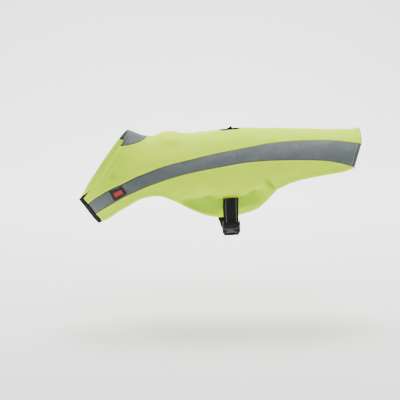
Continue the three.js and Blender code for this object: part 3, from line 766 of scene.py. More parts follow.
def webbing_finish(name, colours):
    """Webbing: fine slanted ribs across it, with a fine warp along it."""
    cloth = Finish(name)
    along, across = cloth.cloth_map()
    ribs = (along + across.wave(3.2 * MM).math("ABSOLUTE") * (0.9 * MM)).ribs(1.15 * MM)
    fuzz = cloth.noise(900.0, 3.0)
    height = ribs * 0.65 + across.ribs(0.8 * MM) * 0.35 + fuzz * 0.2
    return cloth.surface(
        Base_Color=cloth.mix((ribs * 0.6 + fuzz * 0.4).over(0.3, 0.95), colours.black, colours.black_light),
        Roughness=fuzz * 0.2 + 0.6,
        Normal=cloth.bump(height, 0.7, 0.25 * MM),
        Specular_IOR_Level=0.12,
    )


def tape_finish(name, colours):
    """Closure tape: a dense pile of loops."""
    cloth = Finish(name)
    pile = cloth.beads(1300.0)
    fuzz = cloth.noise(700.0, 4.0, 0.7)
    return cloth.surface(
        Base_Color=cloth.mix((pile + fuzz * 0.5).over(0.2, 1.1), colours.black, colours.black_light),
        Roughness=fuzz * 0.2 + 0.75,
        Normal=cloth.bump(pile * 0.8 + fuzz * 0.4, 0.8, 0.3 * MM),
        Specular_IOR_Level=0.08,
    )


def label_finish(name, colours):
    """Woven label: black, with one plain red bar across its middle."""
    cloth = Finish(name)
    along, across = cloth.cloth_map()
    bar = along.near(0.0, 0.36 * LABEL["length"]).over(0.02, 0.06)
    bar = bar * across.near(0.0, 0.27 * LABEL["width"]).over(0.04, 0.12)
    threads = across.ribs(0.45 * MM)
    return cloth.surface(
        Base_Color=cloth.mix(bar, colours.label_black, colours.label_red),
        Roughness=threads * 0.15 + 0.5,
        Normal=cloth.bump(threads * 0.7 + along.ribs(0.6 * MM) * 0.3, 0.4, 0.12 * MM),
        Sheen_Weight=0.1,
        Specular_IOR_Level=0.4,
    )


def plastic_finish(name, tone, light):
    """Moulded plastic with a fine spark-eroded grain, polished a little where it is handled."""
    plastic = Finish(name)
    grain = plastic.noise(1500.0, 2.0)
    handled = plastic.noise(70.0, 2.0).over(0.4, 0.7)
    return plastic.surface(
        Base_Color=plastic.mix(grain.over(0.4, 0.8) * 0.35, tone, light),
        Roughness=0.55 - handled * 0.12 + grain * 0.1,
        Normal=plastic.bump(grain, 0.25, 0.08 * MM),
        Specular_IOR_Level=0.1,
    )


def thread_finish(name, tone, light):
    """Twisted sewing thread."""
    thread = Finish(name)
    twist = thread.noise(1600.0, 1.0)
    return thread.surface(
        Base_Color=thread.mix(twist.over(0.35, 0.7) * 0.6, tone, light),
        Roughness=twist * 0.2 + 0.45,
        Normal=thread.bump(twist, 0.4, 0.06 * MM),
        Specular_IOR_Level=0.4,
    )


FINISHES = {
    "fluorescent yellow cloth": yellow_finish,
    "grey reflective cloth": reflective_finish,
    "grey reflective cloth of the collar": lambda *given: reflective_finish(*given, COLLAR_SHADE),
    "black webbing": webbing_finish,
    "black closure tape": tape_finish,
    "woven label": label_finish,
    "buckle plastic": lambda name, tones: plastic_finish(name, tones.plastic, tones.plastic_light),
    # The recesses' darker plastic is a painted shade.
    "buckle recess": lambda name, tones: plastic_finish(name, tones.recess, tones.recess_shade_grain),
    "pale thread": lambda name, tones: thread_finish(name, tones.pale_thread, (0.55, 0.57, 0.55)),
    "yellow thread": lambda name, tones: thread_finish(name, tones.yellow_thread, (0.8, 0.9, 0.25)),
    "black thread": lambda name, tones: thread_finish(name, tones.black_thread, (0.05, 0.05, 0.05)),
}


def finish_named(name):
    """The material of that name, made the first time that it is asked for."""
    return bpy.data.materials.get(name) or FINISHES[name](name, bpy.context.scene.vest_colours)


# ---------------------------------------------------------------- sewing

# Places along a stitch, and how many thread radii its thread lies over the cloth there.
STITCH_RISE = ((0.0, -0.6), (0.18, 0.55), (0.5, 0.8), (0.82, 0.55), (1.0, -0.6))


def inside_line(line, distance, side_hint):
    """A row of points that runs beside a line at a distance, on the side of side_hint."""
    beside = unit(np.cross(outward(line.station, line.turn), unit(np.gradient(line.points, axis=0))))
    toward = np.sign(((side_hint - line.points) * beside).sum(axis=1))
    return line.points + beside * (np.median(toward) * distance)


def even_steps(points, spacing):
    """Points a fixed run apart along a row of points."""
    run = run_along(points)
    at = np.linspace(0, run[-1], max(int(run[-1] / spacing), 1) + 1)
    return np.stack([np.interp(at, run, points[:, k]) for k in range(3)], axis=1)


class Sewing:
    """Rows of stitches on the outer skin of one piece, gathered in one mesh."""

    def __init__(self, name, thread, slot, radius, skin):
        self.data = bpy.data.curves.new(name, "CURVE")
        self.data.dimensions = "3D"
        self.data.bevel_depth = radius
        self.data.bevel_resolution = 1
        self.data.use_fill_caps = True
        self.name, self.thread, self.slot, self.radius = name, thread, slot, radius
        self.tree = BVHTree.FromBMesh(skin)
        skin.free()

    def row(self, points, stitch, gap):
        """Stitches along a row: each rises out of the cloth, lies on it and dips back in."""
        spots = even_steps(points, stitch + gap)
        share = stitch / (stitch + gap)
        for start, end in zip(spots, spots[1:]):
            spline = self.data.splines.new("POLY")
            spline.points.add(len(STITCH_RISE) - 1)
            for point, (part, lift) in zip(spline.points, STITCH_RISE):
                place, facing, _, _ = self.tree.find_nearest(Vector(start + (end - start) * (part * share)))
                point.co = (*(place + facing * (lift * self.radius)), 1)

    def inside(self, lines, side_hint, stitch):
        """A row inside each seam or edge, at its own distance and on the side of side_hint."""
        for line, distance in lines:
            self.row(inside_line(line, distance, side_hint), stitch.length, stitch.gap)

    def finish(self):
        holder = as_object(self.name, self.data)
        drawn = holder.evaluated_get(bpy.context.evaluated_depsgraph_get())
        bm = bmesh.new()
        bm.from_mesh(drawn.to_mesh())
        drawn.to_mesh_clear()
        bmesh.ops.remove_doubles(bm, verts=bm.verts, dist=0.005 * MM)
        bmesh.ops.recalc_face_normals(bm, faces=bm.faces)
        mesh = mesh_from(bm, self.name)
        bpy.data.objects.remove(holder)
        return finish_piece(as_object(self.name, mesh), finish_named(self.thread), self.slot)


def cloth_piece(name, bm, wall, finish, slot, node):
    """A piece of cloth with its outer face on the mesh, and that face as a bmesh to sew on."""
    map_cloth(bm)
    piece = as_object(name, mesh_from(bm, name))
    skin = bmesh.new()
    skin.from_mesh(piece.data)
    thicken(piece, wall)
    return finish_piece(piece, finish_named(finish), slot, node), skin


# ---------------------------------------------------------------- settings

def length_property(name, default, description):
    return FloatProperty(name=name, description=description, default=default, unit="LENGTH")


def colour_property(name, *default):
    about = f"Colour of the {name.lower()}"
    return FloatVectorProperty(name=name, description=about, default=default, subtype="COLOR", min=0, max=1)


class ClothSettings(bpy.types.PropertyGroup):
    """Sizes of the cloth."""

    cell: length_property("Cell", 2.0 * MM, "Spacing of the cloth's mesh")
    edge_cell: length_property("Edge cell", 0.5 * MM, "Spacing beside seams and hems")
    wall: length_property("Wall", 0.7 * MM, "Thickness of the yellow cloth")
    strip_wall: length_property("Strip wall", 0.5 * MM, "Thickness of the reflective cloth")
    tuck: length_property("Tuck", 2.2 * MM, "How far the strip runs in under the panels")


class StitchSettings(bpy.types.PropertyGroup):
    """Sizes of the sewing."""

    length: length_property("Length", 2.7 * MM, "Length of a stitch")
    gap: length_property("Gap", 0.7 * MM, "Cloth between two stitches")
    radius: length_property("Radius", 0.2 * MM, "Radius of the thread")
    strap_length: length_property("Strap stitch", 2.4 * MM, "Length of a stitch on the webbing")
    strap_gap: length_property("Strap gap", 1.3 * MM, "Webbing between two stitches")
    strap_radius: length_property("Strap thread", 0.24 * MM, "Radius of the thread on the webbing")
    strap_inset: length_property("Strap inset", 4.2 * MM, "From the webbing's edge to its stitches")


class ColourSettings(bpy.types.PropertyGroup):
    """Colours of the vest."""

    yellow: colour_property("Yellow cloth", 0.62, 0.91, 0.0)
    yellow_shade: colour_property("Yellow cloth's deeper tone", 0.55, 0.86, 0.0)
    # Painted shade that the yellow cloth takes where it sinks in a fold.
    yellow_fold_shade: colour_property("Yellow cloth's painted shade in its folds", 0.30, 0.58, 0.0)
    # Painted highlight for the yellow cloth's fold crests and folded rims.
    yellow_highlight: colour_property("Yellow cloth's painted highlight on rims and crests", 0.80, 1.0, 0.02)
    # Painted shade for the yellow cloth's sewn grooves and edges.
    yellow_groove_shade: colour_property("Yellow cloth's painted shade in sewn grooves", 0.20, 0.27, 0.0)
    grey: colour_property("Reflective cloth", 0.125, 0.148, 0.152)
    grey_dark: colour_property("Reflective cloth's darker patches", 0.100, 0.122, 0.128)
    # Lighter specks at random, and the painted highlight on the reflective cloth's fold crests.
    grey_specks_and_highlight: colour_property("Reflective cloth's lighter specks and painted highlight", 0.18, 0.20, 0.205)
    # Painted shade for the reflective cloth's folds, grooves and hem bands.
    grey_groove_shade: colour_property("Reflective cloth's painted shade in folds and grooves", 0.035, 0.042, 0.022)
    black: colour_property("Webbing and tape", 0.004, 0.005, 0.004)
    black_light: colour_property("Webbing's raised threads", 0.010, 0.011, 0.009)
    plastic: colour_property("Buckle", 0.010, 0.0115, 0.0115)
    plastic_light: colour_property("Buckle's grain", 0.018, 0.020, 0.020)
    # Painted shade: a darker plastic for the faces cut into the buckle.
    recess: colour_property("Buckle's painted recess shade", 0.004, 0.004, 0.004)
    recess_shade_grain: colour_property("Grain in the painted recess shade", 0.008, 0.008, 0.008)
    pale_thread: colour_property("Pale thread", 0.34, 0.36, 0.35)
    yellow_thread: colour_property("Yellow thread", 0.60, 0.72, 0.10)
    black_thread: colour_property("Black thread", 0.02, 0.02, 0.02)
    label_black: colour_property("Label", 0.016, 0.011, 0.011)
    label_red: colour_property("Label's bar", 0.42, 0.035, 0.035)
    floor: colour_property("Floor", 0.86, 0.86, 0.85)


class StageSettings(bpy.types.PropertyGroup):
    """The camera, floor and lights."""

    azimuth: FloatProperty(name="Azimuth", description="Camera's turn round the vest", default=-5.0)
    elevation: FloatProperty(name="Elevation", description="Camera's height over the horizon", default=12.0)
    distance: length_property("Distance", 2.2, "Camera to the origin")
    lens: FloatProperty(name="Lens", description="Focal length, millimetres", default=113.8)
    aside: length_property("Aside", 80.1 * MM, "Origin right of the view's middle")
    above: length_property("Above", 122.7 * MM, "Origin over the view's middle")
    floor_drop: length_property("Floor drop", 0.345, "Floor below the back")
    wall_back: length_property("Wall", 1.6, "Backdrop behind the vest")
    bend_steps: IntProperty(name="Bend steps", description="Steps of the backdrop's bend", default=16)


SETTINGS = {
    "vest_cloth": ClothSettings,
    "vest_stitch": StitchSettings,
    "vest_colours": ColourSettings,
    "vest_stage": StageSettings,
}


class Step:
    """One step of the build, run by its button in the sidebar or by main."""

    def execute(self, context):
        self.build(context.scene)
        return {"FINISHED"}


# ---------------------------------------------------------------- cloth panels

SIDES = (("left", LEFT), ("right", RIGHT))
# The share of the strip's width over which it dips where it runs in under a panel.
DIP_SHARE = 0.0002


def low_ribs(name, side, cloth):
    """Rib numbers for the panels below the back, evenly spaced along one of their lines."""
    stops = [FIRST_RIB[side], 3, CENTRE_RIB, *SLIT_RIBS, 18, LAST_RIB]
    return finer_at_ends(steps_along(name, stops, cloth.cell))[:, None]


def back_half(side, cloth):
    """One half of the back panel, from the neck or centre line to the strip, and where its slit lies."""
    first = FIRST_RIB[side]
    stops = [first, PATCH_CORNER_RIB, CENTRE_RIB, *SLIT_RIBS, LAST_RIB]
    ribs = finer_at_ends(steps_along("top", stops, cloth.cell))[:, None]
    lines = np.unique(np.append(spaced(PANEL_WIDTHS["back"], cloth), SLIT_HALF))[None, :]
    station, turn = between("edge", "top", ribs, lines)
    panel = Panel(station, turn * side)
    collar = outline_line("edge", PATCH_CORNER_RIB, CENTRE_RIB, side)
    neck = outline_line("edge", first, PATCH_CORNER_RIB, side)
    panel.sew(seam_relief, outline_line("top", first, LAST_RIB, side), collar)
    panel.sew(hem_relief, neck, *(rib_line("edge", "top", rib, side) for rib in (LAST_RIB, first)))
    return panel, (ribs >= SLIT_RIBS[0]) & (ribs <= SLIT_RIBS[1]) & (lines <= SLIT_HALF + 1e-9)


class VEST_OT_back_panel(Step, bpy.types.Operator):
    """Cuts the yellow back panel with its leash slit, turned hems and creases"""

    bl_idname = "vest.back_panel"
    bl_label = "Back panel"

    def build(self, scene):
        bm = bmesh.new()
        for side in (LEFT, RIGHT):
            panel, slit = back_half(side, scene.vest_cloth)
            cut = {vert for vert, inside in zip(panel.add_to(bm), slit.reshape(-1)) if inside}
            faces = [face for face in bm.faces if all(vert in cut for vert in face.verts)]
            bmesh.ops.delete(bm, geom=faces, context="FACES")
        bmesh.ops.remove_doubles(bm, verts=bm.verts, dist=0.01 * MM)
        piece, skin = cloth_piece(
            "back_cloth", bm, scene.vest_cloth.wall, "fluorescent yellow cloth", "yellow_cloth", "back_panel"
        )
        sewing = Sewing("back_sewing", "yellow thread", "yellow_cloth", scene.vest_stitch.radius, skin)
        for side in (LEFT, RIGHT):
            first = FIRST_RIB[side]
            rows = [
                (outline_line("edge", first + 0.5, PATCH_CORNER_RIB, side), HEM),
                (outline_line("top", first + 0.3, LAST_RIB - 0.4, side), SEAM_FOLD),
                (outline_line("edge", PATCH_CORNER_RIB + 0.1, CENTRE_RIB, side), SEAM_FOLD),
                (rib_line("edge", "top", LAST_RIB, side), HEM),
                (rib_line("edge", "top", first, side), HEM),
            ]
            sewing.inside(rows, hollow(100 * MM, 30.0 * side), scene.vest_stitch)
        sewn = sewing.finish()


def side_panel(side, cloth):
    """One lower panel, with its front edge slanted toward the hem."""
    first, slant = FIRST_RIB[side], FRONT_CORNER[side]
    ribs = low_ribs("hem", side, cloth)
    lines = spaced(PANEL_WIDTHS["side"], cloth)[None, :]
    slanted = ribs + slant * lines * (1 - smooth(ribs, first, first + 1.2))
    station, turn = between("low", "hem", slanted, lines)
    panel = Panel(station, turn * side)
    panel.sew(seam_relief, outline_line("low", first, LAST_RIB, side))
    hem = outline_line("hem", first + slant, LAST_RIB, side)
    panel.sew(hem_relief, hem, rib_line("low", "hem", first, side, slant))
    return panel


class VEST_OT_side_panels(Step, bpy.types.Operator):
    """Cuts the two lower yellow panels, from the fronts to the tail"""

    bl_idname = "vest.side_panels"
    bl_label = "Side panels"

    def build(self, scene):
        for name, side in SIDES:
            bm = bmesh.new()
            side_panel(side, scene.vest_cloth).add_to(bm)
            piece, skin = cloth_piece(
                f"side_cloth_{name}", bm, scene.vest_cloth.wall,
                "fluorescent yellow cloth", "yellow_cloth", f"side_{name}",
            )
            radius = scene.vest_stitch.radius
            sewing = Sewing(f"side_sewing_{name}", "yellow thread", "yellow_cloth", radius, skin)
            first = FIRST_RIB[side]
            rows = [
                (outline_line("low", first + 0.4, LAST_RIB - 0.7, side), SEAM_FOLD),
                (outline_line("hem", first + 0.7, LAST_RIB - 1.2, side, 160), HEM),
                (rib_line("low", "hem", first, side, FRONT_CORNER[side]), HEM),
            ]
            sewing.inside(rows, hollow(190 * MM, 95.0 * side), scene.vest_stitch)
            sewn = sewing.finish()


def strip_panel(side, cloth):
    """The strip runs in under the yellow panels on both of its long sides."""
    ribs = low_ribs("low", side, cloth)
    width = np.linalg.norm(hollow(*rib_mark("top", ribs)) - hollow(*rib_mark("low", ribs)), axis=-1)
    tuck = cloth.tuck / width
    part = spaced(PANEL_WIDTHS["strip"], cloth)[None, :] * (1 + 2 * tuck) - tuck
    station, turn = between("top", "low", ribs, part)
    panel = Panel(station, turn * side)
    ends = (FIRST_RIB[side], LAST_RIB)
    panel.sew(under_relief, *(outline_line(name, *ends, side) for name in ("top", "low")))
    panel.relief -= UNDER_DIP * (smooth(-part, 0, DIP_SHARE) + smooth(part - 1, 0, DIP_SHARE))
    panel.sew(hem_relief, *(rib_line("top", "low", rib, side) for rib in ends))
    return panel


def mirrored(turn, count):
    return np.linspace(-turn, turn, count)


def collar_panel(cloth):
    turns = mirrored(COLLAR_PATCH["endTurn"], int(COLLAR_PATCH["length"] / cloth.cell))[:, None]
    station = (collar_edge(turns) + cloth.tuck * 0.8) * spaced(COLLAR_PATCH["depth"], cloth)[None, :]
    panel = Panel(station, np.broadcast_to(turns, station.shape))
    edge_turns = mirrored(COLLAR_PATCH["turn"], 80)
    panel.sew(under_relief, Line(collar_edge(edge_turns), edge_turns))
    panel.relief -= UNDER_DIP * smooth(station - collar_edge(turns), 0, 0.4 * MM)
    panel.sew(hem_relief, Line(0.0, mirrored(COLLAR_PATCH["hemTurn"], 60)))
    return panel


class VEST_OT_reflective_cloth(Step, bpy.types.Operator):
    """Cuts the two long reflective strips and the crescent set into the collar"""

    bl_idname = "vest.reflective_cloth"
    bl_label = "Reflective cloth"

    def build(self, scene):
        for name, side in SIDES:
            panel = strip_panel(side, scene.vest_cloth)
            rows = [(rib_line("top", "low", rib, side), HEM) for rib in (LAST_RIB, FIRST_RIB[side])]
            hint = hollow(190 * MM, 55.0 * side)
            piece, sewn = self.cut(scene, f"strip_cloth_{name}", panel, f"strip_{name}", rows, hint)
        rows = [(Line(0.0, mirrored(COLLAR_PATCH["sewnTurn"], 60)), HEM)]
        piece, sewn = self.cut(
            scene, "collar_cloth", collar_panel(scene.vest_cloth), "collar_patch", rows, hollow(20 * MM, 0.0),
            "grey reflective cloth of the collar",
        )

    def cut(self, scene, name, panel, node, rows, hint, finish="grey reflective cloth"):
        bm = bmesh.new()
        panel.add_to(bm, lift=-0.2 * MM)
        piece, skin = cloth_piece(name, bm, scene.vest_cloth.strip_wall, finish, "reflective_cloth", node)
        radius = scene.vest_stitch.radius * 1.3
        sewing = Sewing(f"{name}_sewing", "pale thread", "reflective_cloth", radius, skin)
        sewing.inside(rows, hint, scene.vest_stitch)
        return piece, sewing.finish()


# ---------------------------------------------------------------- the chest closure and the label

def tape_piece(name, station, turn, lift, node, place=on_wearer):
    """A closure tape laid out on a grid of stations and turns."""
    bm = bmesh.new()
    layers = {"along": turn * GIRTH_PER_DEGREE, "across": station}
    add_grid(bm, place(station, turn, lift), outward(station, turn), layers)
    map_cloth(bm)
    piece = as_object(name, mesh_from(bm, name))
    thicken(piece, TAPE_THICKNESS)
    round_edges(piece, TAPE_THICKNESS * 0.3, 2)
    return finish_piece(piece, finish_named("black closure tape"), "black_tape", node)


def under_tape_places(cell):
    """The tape on the right front's end, which passes round the chest and in under the left front."""
    part = np.linspace(0, 1, int(UNDER_TAPE["width"] / cell))
    across = np.linspace(0, 1, int(UNDER_TAPE["length"] / cell))
    ends = [rib_mark(name, FIRST_RIB[RIGHT]) for name in ("edge", "top", "low", "hem")]
    stations, turns = np.array(ends).T
    sewn_station = np.interp(part * 3, range(4), stations)
    sewn_turn = 360 - np.interp(part * 3, range(4), turns) - UNDER_TAPE["seamTurn"]
    left_station = UNDER_TAPE["neckStation"] + part * (UNDER_TAPE["hemStation"] - UNDER_TAPE["neckStation"])
    station = left_station[:, None] + (sewn_station - left_station)[:, None] * across
    turn = UNDER_TAPE["leftTurn"] + (sewn_turn - UNDER_TAPE["leftTurn"])[:, None] * across
    start, top, last, end = UNDER_TAPE["riseTurns"]
    rise = smooth(turn, start, top) * (1 - smooth(turn, last, end)) * (1 - part[:, None])
    return station - UNDER_TAPE["neckRise"] * rise + UNDER_TAPE["hemReach"] * part[:, None], turn


class VEST_OT_closure_tapes(Step, bpy.types.Operator):
    """Lays the two black tapes of the chest closure"""

    bl_idname = "vest.closure_tapes"
    bl_label = "Closure tapes"

    def build(self, scene):
        places = under_tape_places(scene.vest_cloth.cell)
        under = tape_piece("closure_tape_under", *places, TAPE_THICKNESS, "chest_tape_under")
        stations = np.linspace(LAP_TAPE["fromStation"], LAP_TAPE["toStation"], 14)
        turns = np.linspace(LAP_TAPE["fromTurn"], LAP_TAPE["toTurn"], 16)
        places = np.meshgrid(stations, turns, indexing="ij")
        lap = tape_piece("closure_tape_lap", *places, LAP_TAPE["lift"], "chest_tape_lap", on_cloth)


class VEST_OT_label(Step, bpy.types.Operator):
    """Sews the small woven label on the left strip"""

    bl_idname = "vest.label"
    bl_label = "Label"

    def build(self, scene):
        length, width = LABEL["length"], LABEL["width"]
        along = np.linspace(-0.5, 0.5, 17)[:, None] * length
        across = np.linspace(-0.5, 0.5, 13)[None, :] * width
        ends = [np.array(between("top", "low", LABEL["rib"] + step, 0.5)) for step in (-0.3, 0.3)]
        middle = (ends[0] + ends[1]) / 2
        degree = np.linalg.norm(hollow(middle[0], middle[1] + 0.5) - hollow(middle[0], middle[1] - 0.5))
        run = unit((ends[1] - ends[0]) * (1, degree))
        station = middle[0] + along * run[0] - across * run[1]
        turn = middle[1] + (along * run[1] + across * run[0]) / degree
        points = on_cloth(station, turn, OUTER_FACE + LABEL["lift"])
        bm = bmesh.new()
        add_grid(bm, points, outward(station, turn), {"along": along, "across": across})
        wall = LABEL["wall"]
        piece, skin = cloth_piece("woven_label", bm, wall, "woven label", "woven_label", "label_patch")
        sewing = Sewing("label_sewing", "black thread", "woven_label", scene.vest_stitch.radius, skin)
        inner = points[1:-1, 1:-1]
        for row in (inner[0], inner[-1], inner[:, 0], inner[:, -1]):
            sewing.row(row, LABEL["stitch"], LABEL["gap"])
        sewing.finish()


# ---------------------------------------------------------------- the leash slit

# The binding's section, and the stations between which a corner of its far lip stands up.
BINDING = {"aside": 0.55 * MM, "halfWidth": 1.75 * MM, "lift": 0.8 * MM, "halfHeight": 1.65 * MM}
CORNER = {"start": 171.5 * MM, "peak": 180 * MM, "end": 182 * MM, "height": 4.6 * MM}


class VEST_OT_slit_binding(Step, bpy.types.Operator):
    """Folds the binding over the edge of the leash slit, with one corner of it standing up"""

    bl_idname = "vest.slit_binding"
    bl_label = "Slit binding"

    def build(self, scene):
        station, turn = between("edge", "top", np.linspace(*SLIT_RIBS, 41), SLIT_HALF)
        front, tail = [rib_mark("edge", rib)[0] for rib in SLIT_RIBS]
        across = np.linspace(0.75, -0.75, 7)
        stations = np.array([*station, *[tail] * 7, *station[::-1], *[front] * 7])
        turns = np.array([*turn, *(turn[-1] * across), *-turn[::-1], *(-turn[0] * across)])
        path = on_wearer(stations, turns, 0.0)
        facing = outward(stations, turns)
        away = unit(np.cross(unit(np.roll(path, -1, axis=0) - np.roll(path, 1, axis=0)), facing))
        climb = np.clip((stations - CORNER["start"]) / (CORNER["peak"] - CORNER["start"]), 0, 1) ** 1.4
        fall = 1 - smooth(stations, CORNER["peak"], CORNER["end"])
        climb = CORNER["height"] * climb * fall * (turns < 0)
        angle = np.linspace(0, 2 * math.pi, 14, endpoint=False)
        aside = BINDING["aside"] - BINDING["halfWidth"] * np.cos(angle)
        high = BINDING["lift"] + BINDING["halfHeight"] * np.sin(angle)
        high = high + climb[:, None] * np.clip(np.sin(angle), 0, 1) ** 2
        rings = path[:, None] + away[:, None] * aside[:, None] + facing[:, None] * high[..., None]
        rings = np.concatenate([rings, rings[:1]])
        rings = np.concatenate([rings, rings[:, :1]], axis=1)
        run = np.arange(rings.shape[0])[:, None] * 1.2 * MM
        bm = bmesh.new()
        layers = {"along": run, "across": np.arange(rings.shape[1]) * 0.7 * MM}
        add_grid(bm, rings, rings - rings[:, :-1].mean(axis=1, keepdims=True), layers)
        map_cloth(bm)
        bmesh.ops.remove_doubles(bm, verts=bm.verts, dist=0.005 * MM)
        bmesh.ops.recalc_face_normals(bm, faces=bm.faces)
        piece = as_object("slit_edging", mesh_from(bm, "slit_edging"))
        finish_piece(piece, finish_named("black webbing"), "black_tape", "slit_binding")


# ---------------------------------------------------------------- the belly strap

WEBBING = {"width": 25 * MM, "thickness": 1.3 * MM, "gap": 0.3 * MM}
ACROSS = np.linspace(-0.5, 0.5, 13)
MIDDLE = 6
STRAP_TOP = (0.555, 0.577)
STRAP_LIFT = OUTER_FACE + WEBBING["gap"] + WEBBING["thickness"] / 2
PANEL_ROWS = 12
BRIDGE_ROWS = 6
BELLY_ROWS = 13
BELLY_RUN = {"hemX": -33.5 * MM, "hemTurn": -125, "firstTurn": -128, "lastTurn": -152, "lowestTurn": -180}
BUCKLE = {
    "x": -29.6 * MM, "turn": 147, "lift": 4.2 * MM, "slant": 5,
    "nearBar": -18.1 * MM, "farBar": 24.7 * MM, "barRadius": 3.05 * MM,
}
# Shares of the way back to the wearer from the far bar, and the folded end's distances from that bar.
FAR_RUN = (0.8, 0.65, 0.5, 0.35, 0.2, 0.08)
FOLDED_END = (9, 14, 20, 25, 30)


def station_at_x(x, turn):
    """The station at which a turn of the hollow reaches an x."""
    stations = np.linspace(0, 404 * MM, 3000)
    return np.interp(x, hollow(stations, turn)[:, 0], stations)


def buckle_frame():
    """x along the straps, y toward the tail, z away from the wearer."""
    station = station_at_x(BUCKLE["x"], BUCKLE["turn"])
    away = Vector(outward(station, BUCKLE["turn"]))
    away.x = 0
    away.normalize()
    tail = Matrix.Rotation(math.radians(BUCKLE["slant"]), 3, away) @ Vector((1, 0, 0))
    place = Vector(hollow(station, BUCKLE["turn"])) + away * BUCKLE["lift"]
    place.x = BUCKLE["x"]
    return Matrix.Translation(place) @ Matrix((tail.cross(away), tail, away)).transposed().to_4x4()


def strap_row(matrix, x, z, shift=0.0):
    """Middle line of the webbing at a point of the buckle's lengthwise plane."""
    y = shift + ACROSS * WEBBING["width"]
    points = np.stack([np.full(len(y), x), y, np.full(len(y), z)], axis=1)
    return points @ np.array(matrix.to_3x3()).T + np.array(matrix.translation)


def round_bar(matrix, bar_x, towards, angles):
    radius = BUCKLE["barRadius"]
    return [
        strap_row(matrix, bar_x + radius * math.cos(angle) * towards, radius * math.sin(angle))
        for angle in np.radians(angles)
    ]


def bridge(before, after, count, pull):
    """Rows that carry the webbing smoothly from the end of one run to the start of the next."""
    start, end = before[-1], after[0]
    leave = unit(before[-1] - before[-2])
    arrive = unit(after[1] - after[0])
    reach = np.linalg.norm(end - start, axis=1, keepdims=True) * pull
    return [
        (1 + 2 * t) * (1 - t) ** 2 * start + t * (1 - t) ** 2 * reach * leave
        + t**2 * (3 - 2 * t) * end + t**2 * (t - 1) * reach * arrive
        for t in np.linspace(0, 1, count + 2)[1:-1]
    ]


def strap_on_panel(side, lift):
    """Rows of the webbing where it lies on its side panel, from its sewn top to the hem."""
    ribs = SLIT_RIBS[0] + (ACROSS + 0.5) * (SLIT_RIBS[1] - SLIT_RIBS[0])
    top = STRAP_TOP[0] + (ACROSS + 0.5) * (STRAP_TOP[1] - STRAP_TOP[0])
    rows = []
    for down in np.linspace(0, 1, PANEL_ROWS):
        station, turn = between("low", "hem", ribs, top + (1 - top) * down)
        rows.append(on_cloth(station, turn * side, lift))
    return rows


def webbing_piece(name, rows, facing, node):
    """Webbing of even thickness about its middle surface, with a softly rounded selvedge."""
    rows = np.array(rows)
    bm = bmesh.new()
    layers = {"along": run_along(rows[:, MIDDLE])[:, None], "across": ACROSS * WEBBING["width"]}
    add_grid(bm, rows, np.broadcast_to(facing, rows.shape), layers)
    map_cloth(bm)
    piece = as_object(name, mesh_from(bm, name))
    thicken(piece, WEBBING["thickness"], 0.0)
    round_edges(piece, 0.4 * MM, 3).angle_limit = math.radians(55)
    return finish_piece(piece, finish_named("black webbing"), "black_webbing", node)


def left_strap_rows(matrix):
    """The left strap is doubled: down the panel, round the near bar and back up inside."""
    outer = strap_on_panel(LEFT, STRAP_LIFT + WEBBING["thickness"] + WEBBING["gap"])
    inner = strap_on_panel(LEFT, STRAP_LIFT)[::-1]
    turned = round_bar(matrix, BUCKLE["nearBar"], 1, np.linspace(115, -75, 19))
    down, up = bridge(outer, turned, BRIDGE_ROWS, 0.8), bridge(turned, inner, BRIDGE_ROWS, 0.8)
    return [*outer, *down, *turned, *up, *inner]


def right_strap_rows(matrix):
    """The right strap runs under the belly to the far bar, and its end is folded back and sewn down."""
    rows = strap_on_panel(RIGHT, STRAP_LIFT)
    for turn in np.linspace(BELLY_RUN["firstTurn"], BELLY_RUN["lastTurn"], BELLY_ROWS):
        share = (turn - BELLY_RUN["hemTurn"]) / (BELLY_RUN["lowestTurn"] - BELLY_RUN["hemTurn"])
        middle = BELLY_RUN["hemX"] + share * (BUCKLE["x"] - BELLY_RUN["hemX"])
        station = station_at_x(middle + ACROSS * WEBBING["width"], turn)
        rows.append(on_cloth(station, np.full(len(station), turn), STRAP_LIFT))
    radius = BUCKLE["barRadius"]
    local = matrix.inverted() @ Vector(rows[-1][MIDDLE])
    away = Vector((local.x - BUCKLE["farBar"], local.z))
    slope = math.atan2(away.y, away.x) - math.asin(radius / away.length)
    along = Vector((math.cos(slope), math.sin(slope)))
    length = math.sqrt(away.length_squared - radius**2)

    def straight(distance, drop):
        """A row of the straight run, at a distance from the far bar and dropped toward the wearer."""
        x = BUCKLE["farBar"] - along.y * (radius - drop) + along.x * distance
        z = along.x * (radius - drop) + along.y * distance
        return strap_row(matrix, x, z, local.y * distance / length)

    rows += [straight(length * part, 0) for part in FAR_RUN]
    leaves = 90 - math.degrees(math.atan2(along.y, along.x))
    rows += round_bar(matrix, BUCKLE["farBar"], -1, np.linspace(leaves, leaves - 180, 15))
    folded = [straight(distance * MM, WEBBING["thickness"] + WEBBING["gap"]) for distance in FOLDED_END]
    return rows + bridge(rows, folded, 4, 0.9) + folded


def strap_stitches(name, rows, outside, stitch):
    """Two pale rows of stitches along the webbing."""
    rows = np.array(rows)
    facing = unit(np.cross(np.gradient(rows, axis=0), np.gradient(rows, axis=1)))
    facing *= np.sign((facing * np.array(outside)).sum())
    face = rows + facing * (WEBBING["thickness"] / 2)
    skin = bmesh.new()
    add_grid(skin, face, facing, {})
    sewing = Sewing(name, "pale thread", "black_webbing", stitch.strap_radius, skin)
    inset = stitch.strap_inset / WEBBING["width"]
    for part in (inset, 1 - inset):
        low, share = divmod(part * (len(ACROSS) - 1), 1)
        line = face[:, int(low)] * (1 - share) + face[:, int(low) + 1] * share
        sewing.row(line, stitch.strap_length, stitch.strap_gap)
    return sewing.finish()


